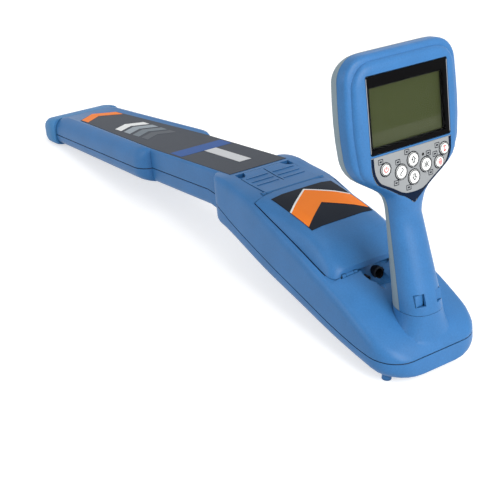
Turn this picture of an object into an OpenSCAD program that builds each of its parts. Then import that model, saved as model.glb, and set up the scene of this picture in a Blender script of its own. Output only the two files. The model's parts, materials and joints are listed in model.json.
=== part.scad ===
// Hand-held cable locator: a blade with antennas, a battery body, and an upright handle with a display head.
// It is drawn with the bend of the arch at the origin, +X towards the tail and the label face level, and
// lie() then sets it down on its foot and its two tail nubs, as it is stored.

/* [Blade] */
// Length of the blade from the bend to the tip of the foot boot
blade_len = 414; // [404:1:424]
// Length of the foot boot beyond the shells
boot_len = 40; // [36:1:44]
// Width of the foot boot
boot_w = 97; // [94:1:104]
// Width of the paddle at its foot end
paddle_foot_w = 89; // [84:1:92]
// Width of the paddle at its tail end
paddle_tail_w = 102; // [98:1:106]
// Distance from the bend to the tail end of the paddle
paddle_end = 152; // [144:1:160]
// Length of the round corner at the tail end of the paddle
paddle_corner = 20; // [14:1:26]
// Width of the slim part of the blade at the parting line
blade_w = 76; // [75:0.5:80]
// Height of the upper shell at the foot
foot_upper_h = 19; // [17:0.5:21]
// Height of the upper shell where the body starts
blade_upper_h = 23; // [21:0.5:25]
// Thickness of the blade at the foot
foot_t = 33; // [31:0.5:36]
// Thickness of the blade where the body starts
blade_t = 41; // [38:0.5:44]

// Height of the two long cushions beside the blade label
pillow_h = 3.5; // [2.5:0.25:4.5]

/* [Body] */
// Distance before the bend at which the body starts to widen
shoulder_start = 40; // [34:1:46]
// Length of the body from the bend to the tail
body_len = 255; // [250:1:260]
// Drop from the bend to the rim at the tail
body_drop = 121; // [117:1:125]
// Distance before the bend at which the shoulders of the body start
rail_start = 18; // [14:1:22]
// Length of the round start of the shoulders
rail_corner = 16; // [12:1:20]
// Width of the body at the start of its shoulders
body_front_w = 101; // [98:1:104]
// Width of the body at the tail
body_w = 117; // [114:1:122]
// Thickness below the rim at the tail
tail_t = 16; // [14:0.5:18]
// Radius of the tail corners seen from above
tail_r = 28; // [24:1:32]
// Wall thickness of the body shells
shell_wall = 3; // [2.6:0.1:3.4]
// Thickness of the gasket in the parting line
gasket_t = 1; // [0.8:0.1:1.4]
// Depth of the groove in front of the gasket
gasket_inset = 0.9; // [0.7:0.1:1.2]

/* [Resting nubs] */
// Distance of the nubs from the tail end
nub_inset = 24; // [20:1:28]
// Distance between the nubs
nub_span = 84; // [78:1:90]
// Height of a nub below the shell
nub_h = 9; // [8:0.5:11]
// Radius of a nub
nub_r = 4.5; // [4:0.5:6]

/* [Labels] */
// Length of the blade label along its edges
label_len = 340; // [330:1:345]
// Width of the blade label at the foot
label_foot_w = 51; // [46:1:53]
// Width of the blade label at the bend
label_tail_w = 71; // [66:1:72]
// Thickness of the labels
label_t = 0.4; // [0.3:0.05:0.6]
// Depth of the pointed end of the blade label
label_point = 18; // [12:1:20]
// Distance from the bend to the tail end of the rating plate
plate_start = 28; // [24:1:34]
// Length of the rating plate
plate_len = 66; // [60:1:70]
// Width of the rating plate
plate_w = 15; // [12:1:18]
// Distance from the bend to the cover label
cover_label_start = 70; // [67:1:74]
// Length of the cover label
cover_label_len = 61; // [56:1:64]
// Width of the cover label
cover_label_w = 74; // [68:1:78]

/* [Battery cover] */
// Distance from the bend to the foot edge of the cover
cover_start = 59; // [57:0.5:61]
// Distance from the bend to the tail edge of the cover
cover_end = 172; // [170:0.5:174]
// Width of the cover
cover_w = 98; // [95:0.5:99]
// Radius of the tail corners of the cover
cover_r = 9; // [7:0.5:11]
// Thickness of the cover
cover_t = 3; // [2.6:0.1:3.4]
// Gap round the cover
cover_gap = 0.6; // [0.5:0.1:0.8]
// Radius of the hinge pins
hinge_pin_r = 1; // [0.8:0.05:1.1]
// Outer radius of the hinge knuckles
knuckle_r = 2; // [1.8:0.1:2.2]
// Width of a hinge knuckle on the cover
knuckle_w = 9; // [8:0.5:10]
// Distance between the two hinges
hinge_span = 58; // [56:0.5:60]

/* [Latch] */
// Distance from the bend to the foot end of the latch
latch_start = 6; // [4:0.5:9]
// Width of the latch
latch_w = 66; // [60:1:68]
// Thickness of the latch
latch_t = 3.2; // [2.8:0.1:3.6]
// Radius of the latch pin
latch_pin_r = 1; // [0.8:0.05:1.2]
// Outer radius of the latch knuckles
latch_knuckle_r = 2.4; // [2.2:0.1:2.6]
// Number of grip ribs on each half of the latch
latch_ribs = 3; // [2:1:4]

/* [Batteries] */
// Diameter of a D cell
cell_d = 33.2; // [32:0.1:34]
// Length of a D cell
cell_len = 60; // [58:0.5:61]
// Wall of the battery tray
tray_wall = 2; // [1.6:0.1:2.4]
// Distance from the bend to the foot end of the tray
tray_start = 70; // [68:0.5:72]
// Slope of the tray, along the body
tray_slope = 19; // [17:0.5:21]

/* [Antennas] */
// Length of the antenna board
board_len = 310; // [290:1:320]
// Width of the antenna board
board_w = 44; // [38:1:48]
// Thickness of the circuit boards
board_t = 1.6; // [1.2:0.1:2]
// Radius of an antenna winding
coil_r = 7; // [6:0.25:7.5]
// Length of a ferrite rod
rod_len = 56; // [50:1:60]

/* [Handle] */
// Level of the joint between handle and boss below the bend
handle_base = 82; // [80:0.5:84]
// Tilt of that joint towards the tail
joint_tilt = 11; // [8:0.5:13]
// Width of the handle at its base
handle_base_w = 43; // [41:0.5:45]
// Depth of the handle at its base
handle_base_d = 40; // [38:0.5:42]
// Width of the handle at its neck
handle_neck_w = 34; // [32:0.5:36]
// Depth of the handle at its neck
handle_neck_d = 25; // [24:0.5:27]
// Wall thickness of the handle and the head
head_wall = 2.6; // [2.3:0.1:2.9]

/* [Head] */
// Distance from the bend to the display face at the level of the bend
head_x = 232.5; // [230:0.5:234]
// Lean of the display face away from the tail
head_lean = 2; // [1:0.5:3]
// Level of the top of the head above the bend
head_top = 146.5; // [145:0.5:150]
// Width of the head
head_w = 127; // [124:0.5:130]
// Bow of the sides of the head, from the middle to the top
head_bow = 3; // [2:0.25:4]
// Depth of the front shell of the head
head_front_d = 17; // [16:0.5:18]
// Depth of the rear shell of the head
head_rear_d = 15; // [14:0.5:17]
// Radius of the upper corners of the head
head_corner_r = 20; // [19:0.5:24]
// Depth of the step round the display face
head_step = 4.5; // [4:0.5:6]
// Inset of the display face from the outline of the head
head_inset = 5; // [4.5:0.5:7]

/* [Display] */
// Width of the window
lens_w = 91; // [87:0.5:92]
// Height of the window
lens_h = 66.5; // [64:0.5:68]
// Thickness of the window
lens_t = 2; // [1.6:0.1:2.2]
// Level of the lower edge of the window above the bend
lens_z = 63.5; // [63.5:0.5:65]
// Width of the visible display
lcd_w = 81; // [78:0.5:82]
// Height of the visible display
lcd_h = 50.5; // [48:0.5:52]
// Margin between the lower edges of window and display
lcd_margin = 5; // [4:0.5:6]

/* [Keypad] */
// Width of the keypad
keypad_w = 91; // [88:0.5:92]
// Level of the upper edge of the keypad above the bend
keypad_top = 61.5; // [60:0.5:61.5]
// Height of the keypad down to the tip of its dark border
keypad_h = 49; // [46:0.5:50]
// Depth of the keypad overlay at the face
overlay_t = 2.2; // [1.9:0.1:2.5]
// Radius of a main key
key_r = 6.2; // [5.8:0.1:6.5]
// Radius of a small key
small_key_r = 5.2; // [4.8:0.1:5.6]
// How far a key stands proud of the face
key_proud = 0.7; // [0.6:0.1:1]
// Travel of a key
key_travel = 0.6; // [0.4:0.05:0.7]

/* [Sockets] */
// Radius of the scoop in front of the sockets
scoop_r = 20; // [19:0.5:21]
// Bore radius of the accessory socket
socket_bore_r = 4.5; // [4:0.1:4.8]
// Bore radius of the headphone socket
jack_bore_r = 1.8; // [1.6:0.05:1.9]
// Depth of the bores of both sockets
socket_depth = 9; // [7:0.5:10]

/* [Fits] */
// Clearance between pieces that do not move
fit = 0.3; // [0.25:0.05:0.35]
// Running clearance round a pin
pin_clearance = 0.05; // [0.02:0.01:0.1]

/* [Hidden] */
$fn = 48;
blue = "#4173b4";
grey = "#829496";
// Length that a cut runs past the face it opens
overrun = 1;

// Lines of the body, as shares of its length and of the drop that each line makes
seam_shares = [[0, 0], [0.1, 0.065], [0.2, 0.205], [0.31, 0.335], [0.44, 0.49], [0.57, 0.633],
  [0.76, 0.837], [0.865, 0.925], [0.94, 0.968], [1, 1]];
bottom_shares = [[0, 0], [0.15, 0.13], [0.28, 0.281], [0.39, 0.417], [0.555, 0.594], [0.755, 0.807],
  [0.865, 0.906], [0.94, 0.969], [1, 1]];
crest_shares = [[0, 0], [0.136, 0], [0.237, 0.035], [0.37, 0.072], [0.48, 0.14], [0.576, 0.215],
  [0.645, 0.3], [0.693, 0.4], [0.719, 0.465], [0.8, 0.64]];
edge_shares = [[0, 0], [0.136, 0], [0.22, 0.04], [0.31, 0.09], [0.407, 0.19], [0.56, 0.355],
  [0.66, 0.471], [0.72, 0.537], [0.78, 0.61], [0.84, 0.694], [0.9, 0.79], [0.95, 0.875], [0.97, 0.91],
  [0.985, 0.945], [1, 1]];
deck_shares = [[0.6, 0.42], [0.72, 0.508], [0.75, 0.541], [0.815, 0.632], [0.866, 0.712], [0.914, 0.79],
  [0.95, 0.85], [0.97, 0.89], [0.985, 0.935], [0.995, 0.975], [1, 1]];
width_shares = [[0, 0], [0.13, 0], [0.2, 0.12], [0.31, 0.37], [0.57, 0.7], [0.76, 0.93], [0.865, 1], [1, 1]];
shoulder_shares = [[0, 0.2], [0.07, 0.2], [0.13, 0.45], [0.2, 0.4], [0.31, 0.3], [0.57, 0.45], [0.72, 0.6],
  [0.865, 0.85], [1, 1]];
// Widest inset of the top face from the parting line on the body, and the heights of the rounded edges
shoulder_inset = 10;
shoulder_roll = 11;
blade_roll = 3;
paddle_roll = 14;
paddle_under = 11;
paddle_under_inset = 15;
blade_under = 6;
rim_h = 2;
pillow_foot_share = 0.1;
// Largest share of the wall height that a rounded edge may take
roll_limit_share = 0.75;
// Power of the crown across the body: flat in the middle and falling off at the edges
crown_power = 4;
shell_start = boot_len - blade_len;
slope_len = body_len + shoulder_start;
tail_bottom = body_drop + tail_t;

// Smooth curve through rows of place and value, with no overshoot
function rise(k, i) = (k[i + 1][1] - k[i][1]) / (k[i + 1][0] - k[i][0]);
function tangent(k, i) =
  i == 0 ? rise(k, 0) :
  i == len(k) - 1 ? rise(k, i - 1) :
  let (a = rise(k, i - 1), b = rise(k, i)) a * b <= 0 ? 0 : 2 * a * b / (a + b);
function span_of(x, k, i = 0) = i >= len(k) - 2 || x < k[i + 1][0] ? i : span_of(x, k, i + 1);
function curve(x, k) =
  let (i = span_of(x, k), h = k[i + 1][0] - k[i][0], t = min(1, max(0, (x - k[i][0]) / h)))
  k[i][1] * (2 * t ^ 3 - 3 * t ^ 2 + 1) + h * tangent(k, i) * (t ^ 3 - 2 * t ^ 2 + t)
  + k[i + 1][1] * (3 * t ^ 2 - 2 * t ^ 3) + h * tangent(k, i + 1) * (t ^ 3 - t ^ 2);
function mix(a, b, t) = a + (b - a) * min(1, max(0, t));
function steps(a, b, n) = [for (i = [0:n - 1]) a + (b - a) * i / n];
// Steps that crowd towards the far end or the near end, for a line that turns there in an arc
function arc_steps(a, b, n) = [for (i = [0:n - 1]) a + (b - a) * sin(90 * i / n)];
function start_steps(a, b, n) = [for (i = [0:n - 1]) a + (b - a) * (1 - cos(90 * i / n))];

// Lines of the shells at a distance x from the bend
function slope_share(x) = (x + shoulder_start) / slope_len;
function blade_share(x) = (x - shell_start) / (-shoulder_start - shell_start);
function tail_share(x) = mix(0, 1, (x - cover_end) / (body_len - cover_end));
function paddle_share(x) =
  let (t = (x + paddle_end + paddle_corner) / paddle_corner) t <= 0 ? 1 : t >= 1 ? 0 : sqrt(1 - t ^ 2);
function label_half(x) = mix(label_foot_w, label_tail_w, (x + label_len) / (label_len - paddle_end)) / 2;
function seam_z(x) =
  -mix(foot_upper_h, blade_upper_h, blade_share(x))
  - (body_drop - blade_upper_h) * curve(slope_share(x), seam_shares);
function bottom_z(x) =
  -mix(foot_t, blade_t, blade_share(x)) - (tail_bottom - blade_t) * curve(slope_share(x), bottom_shares);
function crest_z(x) = -body_drop * curve(slope_share(x), crest_shares);
function edge_z(x) = rim_h * tail_share(x) - body_drop * curve(slope_share(x), edge_shares);
function deck_z(x) = rim_h * tail_share(x) - body_drop * curve(slope_share(x), deck_shares);
function top_z(x) = x <= cover_start ? crest_z(x) : x < cover_end ? edge_z(x) : deck_z(x);
function side_z(x) = min(edge_z(x), top_z(x));
function tail_cut(x) =
  let (t = (x - body_len + tail_r) / tail_r) t <= 0 ? 0 : tail_r * (1 - sqrt(1 - min(1, t) ^ 2));
function paddle_half(x) =
  mix(paddle_foot_w, paddle_tail_w, (x - shell_start) / (-paddle_end - shell_start)) / 2;
function rail_share(x) =
  let (t = (x + rail_start) / rail_corner) t <= 0 ? 0 : t >= 1 ? 1 : sqrt(1 - (1 - t) ^ 2);
function body_half(x) = mix(body_front_w, body_w, curve(slope_share(x), width_shares)) / 2;
function half_w(x) =
  x < -paddle_end ? mix(blade_w / 2, paddle_half(x), paddle_share(x))
  : mix(blade_w / 2, body_half(x), rail_share(x)) - tail_cut(x);
function edge_half_w(x) =
  x < -shoulder_start ? min(label_half(x) + fit, half_w(x) - shoulder_inset * shoulder_shares[0][1])
  : half_w(x) - shoulder_inset * curve(slope_share(x), shoulder_shares);
function roll_h(x) =
  x < -shoulder_start ? mix(blade_roll, paddle_roll, paddle_share(x))
  : mix(blade_roll, shoulder_roll, slope_share(x) / width_shares[2][0]);
// Height of the cushions beside the label, which rise in an arc from the foot
function pillow(x) =
  let (t = min(1, (x - shell_start) / paddle_corner + pillow_foot_share))
  pillow_h * paddle_share(x) * sqrt(1 - (1 - t) ^ 2);
function under_h(x) = mix(mix(blade_under, paddle_under, paddle_share(x)), shoulder_roll, slope_share(x));
function under_inset(x) =
  mix(mix(blade_under, paddle_under_inset, paddle_share(x)), shoulder_roll, slope_share(x));

// A skin over a row of closed rings, each a list of points in one plane that runs clockwise as seen from
// the end of the row. Its ends are closed by a strip between the two halves of a ring, or by a fan from
// one pivot point where a ring has a flat top
function cap(n, pivot) = pivot > 0 ? [for (i = [1:n - 2]) [pivot, (pivot + i) % n, (pivot + i + 1) % n]] :
  concat([for (j = [0:floor(n / 2) - 2]) each [[j, j + 1, n - 2 - j], [j, n - 2 - j, n - 1 - j]]],
    n % 2 == 0 ? [] : let (m = (n - 1) / 2) [[m - 1, m, m + 1]]);
module loft(rings, pivot = 0) {
  n = len(rings[0]);
  m = len(rings);
  sides = [for (i = [0:m - 2], j = [0:n - 1]) let (a = i * n + j, b = i * n + (j + 1) % n)
    each [[a, b, b + n], [a, b + n, a + n]]];
  start = [for (f = cap(n, pivot)) [f[2], f[1], f[0]]];
  end = [for (f = cap(n, pivot)) [for (j = f) (m - 1) * n + j]];
  polyhedron([for (r = rings) each r], concat(sides, start, end), convexity = 10);
}
function reversed(row) = [for (i = [len(row) - 1:-1:0]) row[i]];
function mirrored(half) =
  concat(half, [for (i = [len(half) - 1:-1:0]) if (half[i][0] > 0) [-half[i][0], half[i][1]]]);
function across(x, ring) = [for (p = ring) [x, p[0], p[1]]];

// Half sections of the shells, from the middle to the parting line
crown_at_shares = [0.35, 0.6, 0.75, 0.87, 1];
coarse_at_shares = [0.5, 0.8, 1];
fine_turn = 18;
coarse_turn = 30;
function crown(w, low, high, at, power = crown_power) =
  [for (s = at) [s * w, low + (high - low) * (1 - s ^ power)]];
function upper_half(x, inset, low, at, turn) =
  let (w = half_w(x) - inset, e = edge_half_w(x) - inset, z = side_z(x) - inset,
    v = min(roll_h(x), roll_limit_share * max(0, z - low)))
  concat(crown(e, z, top_z(x) - inset, at),
    [for (a = [turn:turn:90])
      [e + (w - e) * sin(a), z - v * (1 - cos(a)) + (inset > 0 ? 0 : pillow(x) * sin(180 * sin(a)))]],
    [[w, min(low, z - v)]]);
function lower_half(x, inset, high, turn) =
  let (w = half_w(x) - inset, z = bottom_z(x) + inset, u = under_inset(x),
    v = min(under_h(x), roll_limit_share * (high - z)))
  concat([[w, high]], [for (a = [90:-turn:0]) [w - u + u * sin(a), z + v * (1 - cos(a))]]);

// Places along the cover and the shells at which their rings are drawn
cover_label_end = cover_label_start + cover_label_len;
cover_tail = cover_end - cover_gap;
label_places = steps(cover_label_start, cover_label_end, 6);
cover_places = concat([cover_start + cover_gap], label_places,
  steps(cover_label_end, cover_tail - cover_r, 4), arc_steps(cover_tail - cover_r, cover_tail, 4),
  [cover_tail]);
shell_places = concat(start_steps(shell_start, shell_start + paddle_corner, 4),
  steps(shell_start + paddle_corner, -paddle_end - paddle_corner, 3),
  arc_steps(-paddle_end - paddle_corner, -paddle_end, 7), steps(-paddle_end, -shoulder_start, 2),
  steps(-shoulder_start, -rail_start, 2), start_steps(-rail_start, rail_corner - rail_start, 6),
  steps(rail_corner - rail_start, cover_start, 7), [cover_start, cover_start + fit], cover_places,
  [cover_end - fit], steps(cover_end, body_len - tail_r, 6), arc_steps(body_len - tail_r, body_len, 7),
  [body_len]);
inner_places = concat(steps(shell_start - overrun, -paddle_end - paddle_corner, 3),
  arc_steps(-paddle_end - paddle_corner, -paddle_end, 4), steps(-paddle_end, -shoulder_start, 2),
  [-shoulder_start, -rail_start, rail_corner / 2 - rail_start],
  steps(rail_corner - rail_start, cover_start, 3), [cover_start - shell_wall],
  steps(cover_start, cover_end, 4),
  steps(cover_end + shell_wall, body_len - tail_r, 3),
  arc_steps(body_len - tail_r, body_len - shell_wall, 3), [body_len - shell_wall]);

module upper_outer() {
  loft([for (x = shell_places)
    across(x, mirrored(upper_half(x, 0, seam_z(x) + gasket_t / 2, crown_at_shares, fine_turn)))],
    len(crown_at_shares) + 90 / fine_turn);
}
module upper_inner() {
  loft([for (x = inner_places)
    across(x, mirrored(upper_half(x, shell_wall, seam_z(x) - overrun, coarse_at_shares, coarse_turn)))],
    len(coarse_at_shares) + 90 / coarse_turn);
}
module lower_outer() {
  loft([for (x = shell_places)
    across(x, mirrored(lower_half(x, 0, seam_z(x) - gasket_t / 2, fine_turn)))]);
}
module lower_inner() {
  loft([for (x = inner_places)
    across(x, mirrored(lower_half(x, shell_wall, seam_z(x) + overrun, coarse_turn)))]);
}

// The resting pose: the bottom of the boot and the bottom of the nubs lie on the floor
boot_rest_x = blade_len - boot_len / 2;
boot_drop = foot_t + fit;
nub_x = body_len - nub_inset;
nub_drop = nub_h - bottom_z(nub_x);
nub_bite_share = 0.8;
pitch = atan2(nub_drop - boot_drop, nub_x + boot_rest_x);
rest_drop = boot_drop * cos(pitch) + boot_rest_x * sin(pitch);
foot_reach = blade_len * cos(pitch) - boot_drop * sin(pitch) / 2;
tail_reach = body_len * cos(pitch) + (tail_bottom - shoulder_roll) * sin(pitch);
rest_x = (foot_reach - tail_reach) / 2;
module lie() {
  translate([rest_x, 0, rest_drop])
    rotate([0, -pitch, 0])
      children();
}
// Place on the floor below a point of the body
function floor_x(x, z) = rest_x + x * cos(pitch) - z * sin(pitch);

// Screws that hold the body shells together, from below
// Their places as shares: on the blade of the antenna board's length, clear of its coils, and of the
// label's width, on the body of its length and width
tongue_len = 14;
board_gap = 3;
board_x = shell_start + tongue_len + board_gap;
blade_screw_shares = [[0.075, 0.48], [0.788, 0.415]];
body_screw_shares = [[0.13, 0.35], [0.82, 0.36]];
screw_places = concat([for (p = blade_screw_shares) [board_x + p[0] * board_len, p[1] * label_tail_w]],
  [for (p = body_screw_shares) [p[0] * body_len, p[1] * body_w]]);
screw_r = 1.5;
screw_head_r = 3;
screw_head_h = 2.4;
screw_bite = 7;
post_r = 4.5;
function screw_seat(x) = seam_z(x) - tail_t / 2;
module at_screws() {
  for (p = screw_places, side = [-1, 1])
    translate([p[0], side * p[1], 0])
      children();
}
module each_screw_cut() {
  for (p = screw_places, side = [-1, 1])
    translate([p[0], side * p[1], screw_seat(p[0]) - screw_head_h]) {
      cylinder(r = screw_r + pin_clearance, h = seam_z(p[0]) - screw_seat(p[0]) + screw_bite + screw_head_h);
      translate([0, 0, -tail_t * 2])
        cylinder(r = screw_head_r + fit, h = screw_head_h + tail_t * 2);
    }
}
module shell_screws() {
  color("silver")
    lie()
      for (p = screw_places, side = [-1, 1])
        translate([p[0], side * p[1], screw_seat(p[0]) - screw_head_h]) {
          cylinder(r = screw_r, h = seam_z(p[0]) - screw_seat(p[0]) + screw_bite - fit + screw_head_h);
          cylinder(r = screw_head_r, h = screw_head_h - pin_clearance);
        }
}
module screw_posts() {
  at_screws()
    cylinder(r = post_r, h = 2 * tail_bottom, center = true);
}

// Foot boot, a cap whose tongue enters the open end of the shells
tongue_w = 44;
boot_place_shares = [1, 0.985, 0.95, 0.88, 0.76, 0.58, 0.3, 0.08, 0];
boot_width_shares = [[0, 0.96], [0.08, 1], [0.45, 0.99], [0.7, 0.945], [0.86, 0.87], [0.96, 0.75], [1, 0.62]];
boot_top_shares = [[0, 1], [0.3, 0.985], [0.5, 0.93], [0.7, 0.8], [0.86, 0.6], [0.96, 0.38], [1, 0.2]];
boot_under_shares = [[0, 1], [0.7, 1], [0.86, 0.88], [0.96, 0.6], [1, 0.3]];
boot_edge = 9;
boot_turn = 22.5;
function boot_ring(s) =
  let (w = boot_w / 2 * curve(s, boot_width_shares), over = boot_drop / 2 * curve(s, boot_top_shares),
    under = boot_drop / 2 * curve(s, boot_under_shares))
  [for (q = [3:-1:0], a = [90:-boot_turn:0])
    let (c = a + 90 * q, h = q < 2 ? over : under, r = min(boot_edge, h))
    [(q == 0 || q == 3 ? 1 : -1) * (w - boot_edge) + boot_edge * cos(c),
      -boot_drop / 2 + (q < 2 ? 1 : -1) * (h - r) + r * sin(c)]];
module foot_boot() {
  color(blue)
    difference() {
      lie() {
        loft([for (s = boot_place_shares) across(shell_start - fit - (boot_len - fit) * s, boot_ring(s))]);
        translate([shell_start - overrun, -tongue_w / 2, shell_wall + fit - foot_t])
          cube([tongue_len + overrun, tongue_w, foot_t - 2 * shell_wall - 2 * fit]);
      }
      translate([-blade_len * 2, -boot_w, -boot_w])
        cube([blade_len * 2, boot_w * 2, boot_w]);
    }
}

// Hinge of the cover: its axis lies in the plane of the cover's tail edge, just below the level of the deck
hinge_sunk = 1;
hinge_x = cover_end - cover_gap;
hinge_z = deck_z(cover_end) - hinge_sunk;
lug_w = 4;
lug_gap = 0.4;
lug_drop = 9;
hinge_pin_len = knuckle_w + 2 * lug_w + 2 * lug_gap;
module hinge_rods(r, len) {
  for (side = [-1, 1])
    translate([hinge_x, side * hinge_span / 2, hinge_z])
      rotate([90, 0, 0])
        cylinder(r = r, h = len, center = true);
}
// Lugs on the body at both sides of each knuckle, and the room that they need in the cover
module at_lugs() {
  for (side = [-1, 1], hand = [-1, 1])
    translate([hinge_x, side * hinge_span / 2 + hand * (knuckle_w / 2 + lug_gap + lug_w / 2), hinge_z])
      rotate([90, 0, 0])
        children();
}
module hinge_lugs() {
  at_lugs() {
    cylinder(r = knuckle_r, h = lug_w, center = true);
    translate([-knuckle_r, -lug_drop, -lug_w / 2])
      cube([knuckle_r * 2, lug_drop, lug_w]);
  }
}
// Groove along the tail edge of the cover in which that edge turns
module hinge_groove() {
  translate([hinge_x, 0, hinge_z])
    rotate([90, 0, 0])
      cylinder(r = knuckle_r + lug_gap / 2, h = cover_w - 2 * cover_r, center = true);
}
module lug_rooms() {
  at_lugs()
    cylinder(r = knuckle_r + lug_gap, h = lug_w + 2 * lug_gap, center = true);
}
module cover_hinge_pins() {
  color("silver")
    lie()
      hinge_rods(hinge_pin_r, hinge_pin_len);
}

// Battery cover, a crowned cap on the ledge of the body
// The label ends on one of the lines along which the cover is drawn
cover_at_shares = [0.25, 0.5, cover_label_w / cover_w, 0.86, 0.92, 0.96, 0.985, 1];
label_at_shares = [for (i = [0:2]) cover_at_shares[i]];
// Its section is rounder at the foot than at the tail
cover_foot_power = 5;
cover_tail_power = 12;
function cover_power(x) =
  mix(cover_foot_power, cover_tail_power, (x - cover_start) / (cover_tail - cover_start));
function cover_low(x) = edge_z(x) + lug_gap;
function cover_half(x) =
  let (t = (x - cover_tail + cover_r) / cover_r)
  cover_w / 2 - (t <= 0 ? 0 : cover_r * (1 - sqrt(1 - min(1, t) ^ 2)));
// Line across the cover, from -Y to +Y
function cover_line(w, x, sunk, at) =
  let (half = crown(w, cover_low(x), crest_z(x) - sunk, at, cover_power(x)))
  concat([for (p = reversed(half)) [-p[0], p[1]]], half);
function cover_ring(x) =
  concat(cover_line(cover_half(x), x, 0, cover_at_shares),
    reversed(cover_line(cover_half(x) - cover_t, x, cover_t, cover_at_shares)));
knuckle_arm = 5;
knuckle_bite_share = 0.8;
// The deck where it meets the cover, drawn out along the body and raised by a gap
module deck_block(lift) {
  line = crown(edge_half_w(cover_end), side_z(cover_end) + lift, deck_z(cover_end) + lift, crown_at_shares);
  translate([cover_start, 0, 0])
    rotate([90, 0, 90])
      linear_extrude(height = body_len)
        polygon(mirrored(concat([[0, deck_z(cover_end) + lift]], line,
          [[edge_half_w(cover_end), -tail_bottom]])));
}
module battery_cover() {
  color(blue)
    lie()
      difference() {
        union() {
          loft([for (x = cover_places) across(x, cover_ring(x))]);
          difference() {
            loft([for (x = [cover_tail - cover_t, cover_tail])
              across(x, cover_line(cover_half(x), x, 0, cover_at_shares))]);
            deck_block(cover_gap);
            hinge_rods(knuckle_r + lug_gap, hinge_pin_len + 2 * lug_gap);
          }
          hinge_rods(knuckle_r, knuckle_w);
          for (side = [-1, 1])
            translate([hinge_x - knuckle_arm, side * hinge_span / 2 - knuckle_w / 2, hinge_z + lug_gap])
              cube([knuckle_arm, knuckle_w, knuckle_r + cover_t * knuckle_bite_share - lug_gap]);
          latch_lugs();
        }
        lug_rooms();
        hinge_rods(hinge_pin_r + pin_clearance, hinge_pin_len);
        latch_rod(latch_pin_r + pin_clearance, latch_pin_len + overrun);
      }
}
label_lift_share = 0.4;
module cover_label() {
  width = cover_w / 2;
  color("#1c2430")
    lie()
      loft([for (x = concat(label_places, [cover_label_end]))
        let (line = cover_line(width, x, 0, label_at_shares))
          across(x, concat([for (p = line) [p[0], p[1] + label_t]],
            [for (p = reversed(line)) [p[0], p[1] + label_t * label_lift_share]]))]);
}

// Latch flap at the foot edge of the cover, on a pin held by two lugs of the cover
latch_pin_x = cover_start - latch_knuckle_r - cover_gap;
latch_pin_z = crest_z(latch_pin_x) - latch_knuckle_r;
latch_lug_w = 4;
latch_pin_len = latch_w + 2 * latch_lug_w + 2 * lug_gap;
latch_scoop_r = 10;
latch_rib_w = 1.6;
latch_rib_h = 0.5;
latch_rib_len = 26;
rib_first_share = 0.2;
rib_step_share = 0.18;
slab_steps = 8;
latch_groove_w = 1.2;
latch_groove_len = 36;
latch_len = latch_pin_x - latch_start;
module latch_rod(r, len) {
  translate([latch_pin_x, 0, latch_pin_z])
    rotate([90, 0, 0])
      cylinder(r = r, h = len, center = true);
}
module latch_lugs() {
  for (side = [-1, 1])
    translate([latch_pin_x, side * (latch_pin_len - latch_lug_w) / 2, latch_pin_z])
      rotate([90, 0, 0]) {
        cylinder(r = latch_knuckle_r, h = latch_lug_w, center = true);
        translate([0, -latch_knuckle_r, -latch_lug_w / 2])
          cube([latch_knuckle_r + cover_gap + cover_t, latch_knuckle_r, latch_lug_w]);
      }
}
// A slab that follows the crest of the body under the flap, between two depths
module latch_slab(upper, lower, from, to, w) {
  places = concat(steps(from, to, slab_steps), [to]);
  rotate([90, 0, 0])
    linear_extrude(height = w, center = true)
      polygon(concat([for (x = places) [x, crest_z(x) - upper]],
        [for (x = reversed(places)) [x, crest_z(x) - lower]]));
}
module latch_scoops(r) {
  for (side = [-1, 1])
    translate([latch_start, side * latch_w / 2, -blade_t / 2])
      cylinder(r = r, h = blade_t);
}
module latch() {
  color(blue)
    lie()
      difference() {
        union() {
          difference() {
            latch_slab(0, latch_t, latch_start, latch_pin_x, latch_w);
            latch_scoops(latch_scoop_r);
          }
          for (side = [-1, 1], i = [1:latch_ribs])
            let (x = latch_pin_x - latch_len * (rib_first_share + rib_step_share * i))
              translate([x, side * (latch_rib_len / 2 + latch_rib_w * 2) - latch_rib_len / 2,
                crest_z(x) - latch_t / 2])
                cube([latch_rib_w, latch_rib_len, latch_t / 2 + latch_rib_h]);
          latch_rod(latch_knuckle_r, latch_w);
        }
        latch_slab(-overrun, latch_groove_w, latch_start + latch_knuckle_r, latch_start + latch_groove_len,
          latch_groove_w);
        latch_rod(latch_pin_r + pin_clearance, latch_pin_len);
      }
}
module latch_pin() {
  color("silver")
    lie()
      latch_rod(latch_pin_r, latch_pin_len);
}
// Room for the flap, its lugs and two fingers in the top of the body
module latch_pocket() {
  latch_slab(-overrun, latch_t + fit * 2, latch_start - cover_gap, cover_start + overrun,
    latch_w + 2 * cover_gap);
  translate([latch_pin_x, 0, latch_pin_z])
    rotate([90, 0, 0])
      cylinder(r = latch_knuckle_r + cover_gap, h = latch_pin_len + 2 * lug_gap, center = true);
  translate([latch_pin_x - latch_knuckle_r - cover_gap, -latch_pin_len / 2 - lug_gap, latch_pin_z])
    cube([2 * latch_knuckle_r + 2 * cover_gap + overrun, latch_pin_len + 2 * lug_gap, blade_t]);
  translate([latch_pin_x, -latch_pin_len / 2 - lug_gap, latch_pin_z - latch_knuckle_r - cover_gap])
    cube([latch_knuckle_r + cover_gap + overrun, latch_pin_len + 2 * lug_gap, blade_t]);
}

// Battery tray with two D cells, along the slope of the body
contact_t = 0.8;
contact_w = 18;
cell_room = cell_d + fit;
tray_len = cell_len + 2 * (tray_wall + contact_t + 2 * fit);
tray_w = 2 * cell_room + 3 * tray_wall + 2 * fit;
tray_share = 0.75;
tray_h = tray_share * cell_d;
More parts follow.
